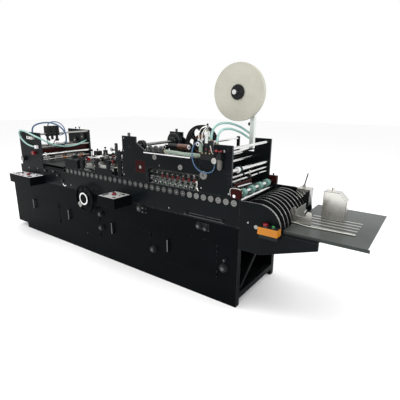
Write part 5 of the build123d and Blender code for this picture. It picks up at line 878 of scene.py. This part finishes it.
# ---- gluing and folding section: guide strips, posts and clamps on the cross rods
clampRods = ((-200, 1030), (40, 1045), (215, 1045), (385, 1150))
glueParts = {
    "guideStrips": dict(look="brightSteel", slabs=[
        ((149, -336, 994), (295, -322, 999), "z", 2, 0.8)],
        rods=[((-206, -300, 1052), (48, -300, 1067), 5), ((-206, 60, 1052), (48, 60, 1067), 5),
            ((36, -215, 1066), (222, -215, 1066), 5), ((36, 110, 1066), (222, 110, 1066), 5),
            ((-688, 100, 985), (-766, 100, 912), 6), ((196, -270, 1062), (300, -270, 1100), 4),
            ((120, -250, 1000), (196, -262, 1058), 3.5), ((-40, -190, 975), (36, -215, 1062), 3.5)],
        bends=[(((-60, -330, 930), (-40, -322, 990), (-5, -318, 1010), (30, -322, 985), (40, -330, 932)), 4),
            (((-330, -330, 920), (-322, -322, 960), (-296, -318, 968), (-280, -318, 940)), 4)]),
    "stripBrackets": dict(look="platePaint", slabs=[
        ((156, -357, 958), (166, -322, 994.5), "x", 2, 0.8), ((280, -357, 916), (290, -322, 994.5), "x", 2, 0.8),
        ((-72, -357, 916), (-50, -326, 934), "x", 2, 0.8), ((30, -357, 916), (50, -326, 934), "x", 2, 0.8),
        ((-342, -357, 914), (-320, -326, 926), "x", 2, 0.8)]),
    "rodClamps": dict(look="blackSatin", slabs=[
        ((x - 15, y - 12, z - 15), (x + 15, y + 12, z + 30), "y", 4, 1.2)
        for x, z in clampRods[:3] for y in (-300, -215, 60, 110)]
        + [((370, -262, 1135), (400, -238, 1196), "y", 4, 1.2),
        ((370, 40, 1135), (400, 64, 1186), "y", 4, 1.2), ((200, -308, 1030), (286, -292, 1064), "z", 4),
        ((256, -308, 1060), (286, -292, 1232), "y", 5), ((-434, -34, 1017.5), (-370, 40, 1070), "z", 5, 1.5),
        ((-292, -22, 1004), (-190, 22, 1050), "z", 5, 1.5), ((-286, -16, 1048), (-240, 16, 1092), "z", 4, 1.5),
        ((205, -306, 1158), (258, -294, 1171), "y"), ((60, -300, 1011), (96, -262, 1060), "z", 4, 1.5),
        ((168, -190, 1011), (196, -150, 1040), "z", 4, 1.5),
        ((-482, -300, 1017.5), (-440, -250, 1046), "z", 5, 1.5),
        ((-350, -310, 1017.5), (-300, -280, 1034), "z", 4)],
        rings=[((x, y, z), 16, 9.1, 12) for x, z in clampRods for y in (-338, -180, 150, 270)],
        balls=[((-200, -230, 1116), 11), ((40, -245, 1132), 11), ((385, -250, 1228), 11), ((215, 60, 1128), 10),
            ((-766, 100, 912), 4), ((-688, 100, 988), 12), ((-402, 0, 1088), 10)]),
    "clampPins": dict(look="rollerSteel", rods=[
        ((-200, -230, 1036), (-200, -230, 1112), 4), ((40, -245, 1052), (40, -245, 1128), 4),
        ((385, -250, 1190), (385, -250, 1224), 4), ((215, 60, 1070), (215, 60, 1124), 4),
        ((228, -300, 1060), (228, -300, 1090), 4), ((-402, 0, 1066), (-402, 0, 1084), 4),
        ((-263, 0, 1090), (-263, 0, 1112), 5)],
        rings=[((203, -300, 1165), 20, 12, 10, "y", 1, 36), ((-200, -230, 1032), 17, 9.1, 16),
            ((40, -245, 1046), 17, 9.1, 16)],
        discs=[((-461, -275, 1050), 12, 10, "z", 1.5, 20), ((78, -281, 1066), 11, 14, "z", 1.5, 20)],
        nuts=[((271, -311, 1210), 8, 6), ((271, -311, 1100), 8, 6)]),
    "clampReds": dict(look="deepRed", discs=[
        ((228, -300, 1098), 17, 18, "z", 3, 36, 6, 0.06), ((-263, 0, 1118), 12, 16, "z", 2, 24),
        ((182, -170, 1048), 12, 16, "z", 2, 24), ((-325, -295, 1043), 13, 18, "z", 2, 24),
        ((385, 52, 1194), 12, 16, "z", 2, 24)]),
}
makeParts(glueParts)
print("gluing section done")

# ---- feeder: cross bar, belt wheels on the back plate, fittings on the front plate
# bolts on the outside of the side plates and the panel: x, z and radius
frontBolts = ((-1262, 829, 9), (-1069, 842, 9), (-1385, 1180, 7), (-1385, 905, 7), (-1430, 730, 8), (-1200, 730, 8),
              (-905, 836, 5), (-730, 848, 5), (-420, 730, 8), (450, 960, 8), (1340, 960, 8), (1771, 758, 9),
              (455, 1185, 7), (1596, 950, 8), (470, 1300, 7), (1000, 730, 8))
backBolts = ((-1385, 1180, 7), (-1385, 905, 7), (-975, 1180, 7), (-1430, 730, 8), (-700, 730, 8), (0, 730, 8),
             (700, 730, 8), (1400, 730, 8), (450, 960, 8), (720, 960, 8), (1340, 960, 8), (1596, 950, 8),
             (1600, 1290, 7), (1771, 758, 9))
feederParts = {
    "feederBar": dict(look="maroonEnamel", slabs=[((-1020, -357, 1031), (-996, 309, 1074), "y")]),
    "hungValves": dict(look="blackSatin", discs=[
        ((-975, y, 1206), 15, 52, "z", 3, 24) for y in (-260, -200, -140)]
        + [((-992, -230, 1178), 10, 30, "z", 2, 18)],
        slabs=[((-998, -276, 1222), (-956, -124, 1236), "z", 5, 1.5),
            ((-990, -160, 1160), (-960, -122, 1184), "z", 4, 1.5)],
        bends=[(((-975, -260, 1182), (-985, -262, 1140), (-1000, -225, 1112), (-1015, -170, 1128),
            (-1010, -140, 1172)), 5)]),
    "feederPulleys": dict(look="blackSatin", rings=[
        ((-1077, 298, 1172), 47, 12, 18, "y", 2, 48), ((-1245, 298, 1118), 38, 11, 18, "y", 2, 40)],
        discs=[((-1159, 317, 1290), 11, 14, "z", 2, 24), ((-1240, 317, 1284), 10, 12, "z", 2, 24)],
        slabs=[((-927, -388, 821), (-883, -373, 851), "y", 4, 1.2),
            ((-752, -388, 833), (-708, -373, 863), "y", 4, 1.2),
            ((-676, -388, 794), (-632, -373, 824), "y", 4, 1.2),
            ((-590, -386, 742), (-560, -373, 770), "y", 4, 1.2)]),
    "pulleyHubs": dict(look="rollerSteel", discs=[
        ((-1077, 298, 1172), 12.4, 24, "y", 2, 24), ((-1245, 298, 1118), 11.4, 24, "y", 2, 24)],
        rods=[((-1159, 317, 1240), (-1159, 317, 1284), 5), ((-1240, 317, 1240), (-1240, 317, 1280), 5),
            ((-960, 317, 1002), (-936, 317, 1002), 5)]),
    "feederRed": dict(look="deepRed", discs=[((-933, 317, 1002), 13, 18, "x", 2.5, 24)]),
    "plateBolts": dict(look="rollerSteel", discs=[
        ((x, y, z), r, 6, "y", 1.2, 6)
        for y, bolts in ((-376.5, frontBolts), (328.5, backBolts)) for x, z, r in bolts]
        + [((x, -389, z), 6, 4) for x, z in ((-905, 836), (-730, 848), (-654, 809))]),
    "feederSkirts": dict(look="platePaint", slabs=[
        ((-956, -358, 850), (-561, -353, 884), "x", 1.5, 0.5),
        ((-956, 305, 850), (-561, 310, 884), "x", 1.5, 0.5)]),
    "feederEnd": dict(look="platePaint", slabs=[
        ((-1451, -352, 702), (-1445, 304, 862), "x", 4, 1.2), ((-1384, -352, 918), (-1379, 304, 1046), "x"),
        ((-1379, -262, 918), (-1366, -250, 1010)), ((-1379, 202, 918), (-1366, 214, 1010))]),
    "bentLever": dict(look="chromeBar", bends=[
        (((-566, -380, 724), (-548, -381, 708), (-534, -381, 703), (-518, -381, 708), (-502, -380, 721)), 4.5, 12)],
        discs=[((-537, -378, 706), 8, 10, "y", 1.2, 6)]),
}
makeParts(feederParts)
print("feeder done")

# ---- front panel: fluted skirts and plungers on the knobs, rod and lip of the long slot
knobPlaces = ((64, 489, 26), (62, 337, 28), (803, 288, 30), (1574, 326, 32), (1328, 638, 26), (1397, 628, 20),
              (648, 660, 32))
panelParts = {
    "knobSkirts": dict(look="blackSatin", discs=[
        ((x, -386, z), r * 1.04, 20, "y", 2.5, 72, 12, 0.045) for x, z, r in knobPlaces],
        rings=[((x, -376, z), r * 1.16, r * 0.5, 4, "y", 1.2, 40) for x, z, r in knobPlaces],
        slabs=[((604, -376.6, 620), (726, -373.8, 689), "y", 6, 0.8),
            ((1300, -376.6, 604), (1424, -373.8, 668), "y", 6, 0.8)]),
    "knobPlungers": dict(look="darkSteel", balls=[
        ((x, -404, z), r * 0.23, "y", 0.8) for x, z, r in knobPlaces],
        discs=[((-190, -377, 219), 5, 7, "y", 1.2, 16), ((612, -377.5, 628), 3.5, 2, "y", 0.6, 12),
            ((718, -377.5, 628), 3.5, 2, "y", 0.6, 12), ((1308, -377.5, 612), 3.5, 2, "y", 0.6, 12),
            ((1416, -377.5, 612), 3.5, 2, "y", 0.6, 12)]),
    "spokeGrip": dict(look="sheetSteel", body="handwheel", rods=[
        ((n - 164, -446, 586 - n), (n - 196, -446, 554 - n), 7.6) for n in (-15, -5, 5, 15)]),
    "wheelTrim": dict(look="chromeBar", body="handwheel", rings=[((-110, -452, 640), 66, 51, 3, "y", 0.8, 64)]),
    "slotRod": dict(look="darkSteel", rods=[
        ((1170, -364, 724), (1562, -364, 724), 6, 16)],
        slabs=[((1163, -381, 704), (1569, -373.8, 710), "x", 2, 0.8)]),
    "slotKnobs": dict(look="blackSatin", discs=[
        ((1190, -380, 724), 12, 22, "y", 2, 24, 8, 0.05), ((1546, -380, 724), 12, 22, "y", 2, 24, 8, 0.05)],
        rings=[((1366, -364, 724), 13, 6.1, 40, "x", 2, 24)]),
}
makeParts(panelParts)
print("front panel done")

# ---- tape tower and delivery: collars, guard, rails and the stop's rolled edge
towerParts = {
    "towerCross": dict(look="platePaint", slabs=[
        ((1337, -354, 925), (1343, 306, 1148), "x"), ((1343, -354, 1142), (1361, 306, 1148))]),
    "towerCrossBolts": dict(look="rollerSteel", nuts=[((1345, y, z), 6, 5, "x") for y, z in (
        (-320, 1120), (-60, 1120), (140, 1120), (280, 1120), (-320, 960), (280, 960))]),
    "tensionBar": dict(look="whitePanel", rods=[
        ((1640, -330, 1004), (1640, -112, 992), 5)],
        discs=[((1640, -110, 992), 9, 6, "y", 1, 20)]),
    "tensionGuard": dict(look="maroonEnamel", slabs=[
        ((1632, -352, 1012), (1648, -104, 1030), "y", 4, 1.2), ((1634, -118, 984), (1646, -104, 1014)),
        ((1634, -352, 996), (1646, -326, 1014))]),
    "pressLever": dict(look="brightSteel", bends=[
        (((1298, -384, 998), (1309, -387, 994), (1305, -386, 966), (1313, -386, 940), (1322, -384, 934)), 4)],
        rings=[((1303, -384, 1004), 9, 4, 6), ((1310, -386, 952), 8, 3.6, 8)]),
    "rodCollarWhite": dict(look="whitePanel", rings=[
        ((1585, -232, 1112), 24, 15.2, 14, "y", 1.5), ((1585, -176, 1112), 21, 15.2, 9, "y", 1.5)]),
    "rodCollarGreen": dict(look="mintHose", rings=[((1585, -214, 1112), 22, 15.2, 12, "y", 1.5)]),
    "rodCollarBlack": dict(look="blackSatin", rings=[
        ((1585, -194, 1112), 26, 15.2, 16, "y", 1.5), ((1590, -150, 1066), 15, 9.1, 14),
        ((1590, 120, 1030), 15, 9.1, 14)],
        discs=[((1556, -4, 1454), 13, 22, "x", 2, 30, 8, 0.06)],
        slabs=[((1578, -62, 1022), (1612, -36, 1052), "y", 4)]),
    "towerPins": dict(look="brightSteel", rods=[
        ((1600, -49, 1046), (1600, -49, 1078), 4), ((1552, -4, 1454), (1568, -4, 1454), 5),
        ((1628, -338, 962), (1628, -338, 1006), 3)],
        balls=[((1600, -49, 1080), 7)],
        bends=[(((1612, -376, 938), (1611, -384, 975), (1622, -386, 999), (1655, -386, 1004), (1690, -384, 1002),
            (1700, -376, 996)), 2.6)]),
    "tableEnd": dict(look="whitePanel", slabs=[((2589, -344, 744.6), (2600, 476, 746.4), "z", 2, 0.5)]),
    "tableRunner": dict(look="platePaint", slabs=[((2038, -357, 699), (2290, -343.5, 722), "x", 2, 0.6)]),
    "tableRail": dict(look="brightSteel", bends=[
        (((1940, -142, 751), (2040, -146, 751), (2150, -166, 750), (2320, -158, 750), (2475, -150, 749)),
         4.2, 12)]),
    "stackerTab": dict(look="brightSteel", bends=[
        (((2110, -137, 838), (2111, -118, 850), (2110, -92, 848), (2108, -78, 826)), 3.2)],
        nuts=[((2062, -141.5, 800), 7, 4), ((2062, -141.5, 765), 7, 4)]),
    "separatorPins": dict(look="brightSteel", rods=[
        ((1960, 240, 776), (1960, 240, 806), 5), ((2006, 200, 772), (2006, 200, 806), 6)],
        nuts=[((2037.4, 214, 930), 7, 4, "x"), ((2037.4, 270, 930), 7, 4, "x")]),
    "separatorShade": dict(look="blackSatin", rings=[((2006, 200, 790), 13, 6.2, 18, "z", 2)]),
    "stopEdge": dict(look="rollerSteel", body="back_stop", bends=[
        (((2174, 90.5, 752), (2174, 90.5, 850), (2174, 90.5, 966)), 2.2, 8),
        (((2174, 90.5, 967), (2230, 90.5, 967), (2287, 90.5, 967)), 2.2, 8),
        (((2287, 90.5, 967), (2316, 90.5, 938), (2345, 90.5, 909)), 2.2, 8),
        (((2345, 90.5, 909), (2345, 90.5, 830), (2345, 90.5, 752)), 2.2, 8)],
        nuts=[((2190, 90.5, 762), 5, 4), ((2330, 90.5, 762), 5, 4)]),
    "creaseRings": dict(look="darkSteel", body="crease_shaft", rings=[
        ((535, 230, 1226), 41, 38, 4, "y", 1, 48), ((535, 252, 1226), 83, 80, 4, "y", 1, 64)]),
    "discCollars": dict(look="darkSteel", body="delivery_discs", rings=[
        ((1835, -300 + 64 * n, 735), 38, 33.5, 12, "y", 1.5, 40) for n in range(8)]),
}
makeParts(towerParts)
wingShape = {"corners": ((2000, 752), (2046, 752), (2046, 872), (2036, 876), (2000, 846)),
             "low": -143.5, "high": -141, "edge": 0.6}


def makeWing(s):
    # an upright sheet: its outline in X and Z carried from y = low to y = high, rims drawn in by edge
    outline, edge = array(s["corners"]), s["edge"]
    way = outline.mean(axis=0) - outline
    inner = outline + edge * way / np.linalg.norm(way, axis=1)[:, None]
    rows = ((inner, s["low"]), (outline, s["low"] + edge), (outline, s["high"] - edge), (inner, s["high"]))
    piece("stackerWing", [array([np.insert(points, 1, y, axis=1) for points, y in rows]) * mm], "brightSteel")


makeWing(wingShape)
print("tape tower and delivery done")

# ---- studio: a pale floor that fades into the background, soft light from above and both sides
studio = {"floorSize": 60, "floorDrop": 0.001, "floorColour": (0.96, 0.96, 0.96), "rough": 0.9, "specular": 0.1,
          "world": 1.0}


def makeStudio(s):
    mesh = bpy.data.meshes.new("floor")
    corners = [(x * s["floorSize"] / 2, y * s["floorSize"] / 2, -s["floorDrop"])
               for x, y in ((-1, -1), (1, -1), (1, 1), (-1, 1))]
    mesh.from_pydata(corners, [], [(0, 1, 2, 3)])
    floor = bpy.data.objects.new("floor", mesh)
    link(floor)
    material = bpy.data.materials.new("floorPaper")
    material.use_nodes = True
    shader = material.node_tree.nodes["Principled BSDF"]
    shader.inputs["Base Color"].default_value = (*s["floorColour"], 1)
    shader.inputs["Roughness"].default_value = s["rough"]
    shader.inputs["Specular IOR Level"].default_value = s["specular"]
    mesh.materials.append(material)
    world = bpy.data.worlds.new("studio")
    world.use_nodes = True
    background = world.node_tree.nodes["Background"]
    background.inputs[0].default_value = (1, 1, 1, 1)
    background.inputs[1].default_value = s["world"]
    bpy.context.scene.world = world
    bpy.context.scene.view_settings.view_transform = "Standard"


lamps = {
    "overhead": dict(place=(0.4, -0.6, 5.2), aim=(0.4, 0.2, 0.8), size=(7, 3), power=150),
    "frontSoft": dict(place=(4.6, -5.2, 3.6), aim=(0.8, 0, 0.8), size=(3.2, 2.6), power=120),
    "leftSoft": dict(place=(-5.4, -4.0, 3.4), aim=(-0.6, 0, 0.7), size=(2.6, 2.6), power=80),
    "rightRim": dict(place=(5.4, 2.4, 3.2), aim=(1.4, 0, 0.9), size=(2.0, 2.4), power=90),
}


def makeLamp(name, s):
    data = bpy.data.lights.new(name, "AREA")
    data.shape = "RECTANGLE"
    data.size, data.size_y = s["size"]
    data.energy = s["power"]
    lamp = bpy.data.objects.new(name, data)
    place, aim = Vector(s["place"]), Vector(s["aim"])
    lamp.matrix_world = Matrix.Translation(place) @ (aim - place).to_track_quat("-Z", "Y").to_matrix().to_4x4()
    link(lamp)


makeStudio(studio)
for name, settings in lamps.items():
    makeLamp(name, settings)
print("studio lit")
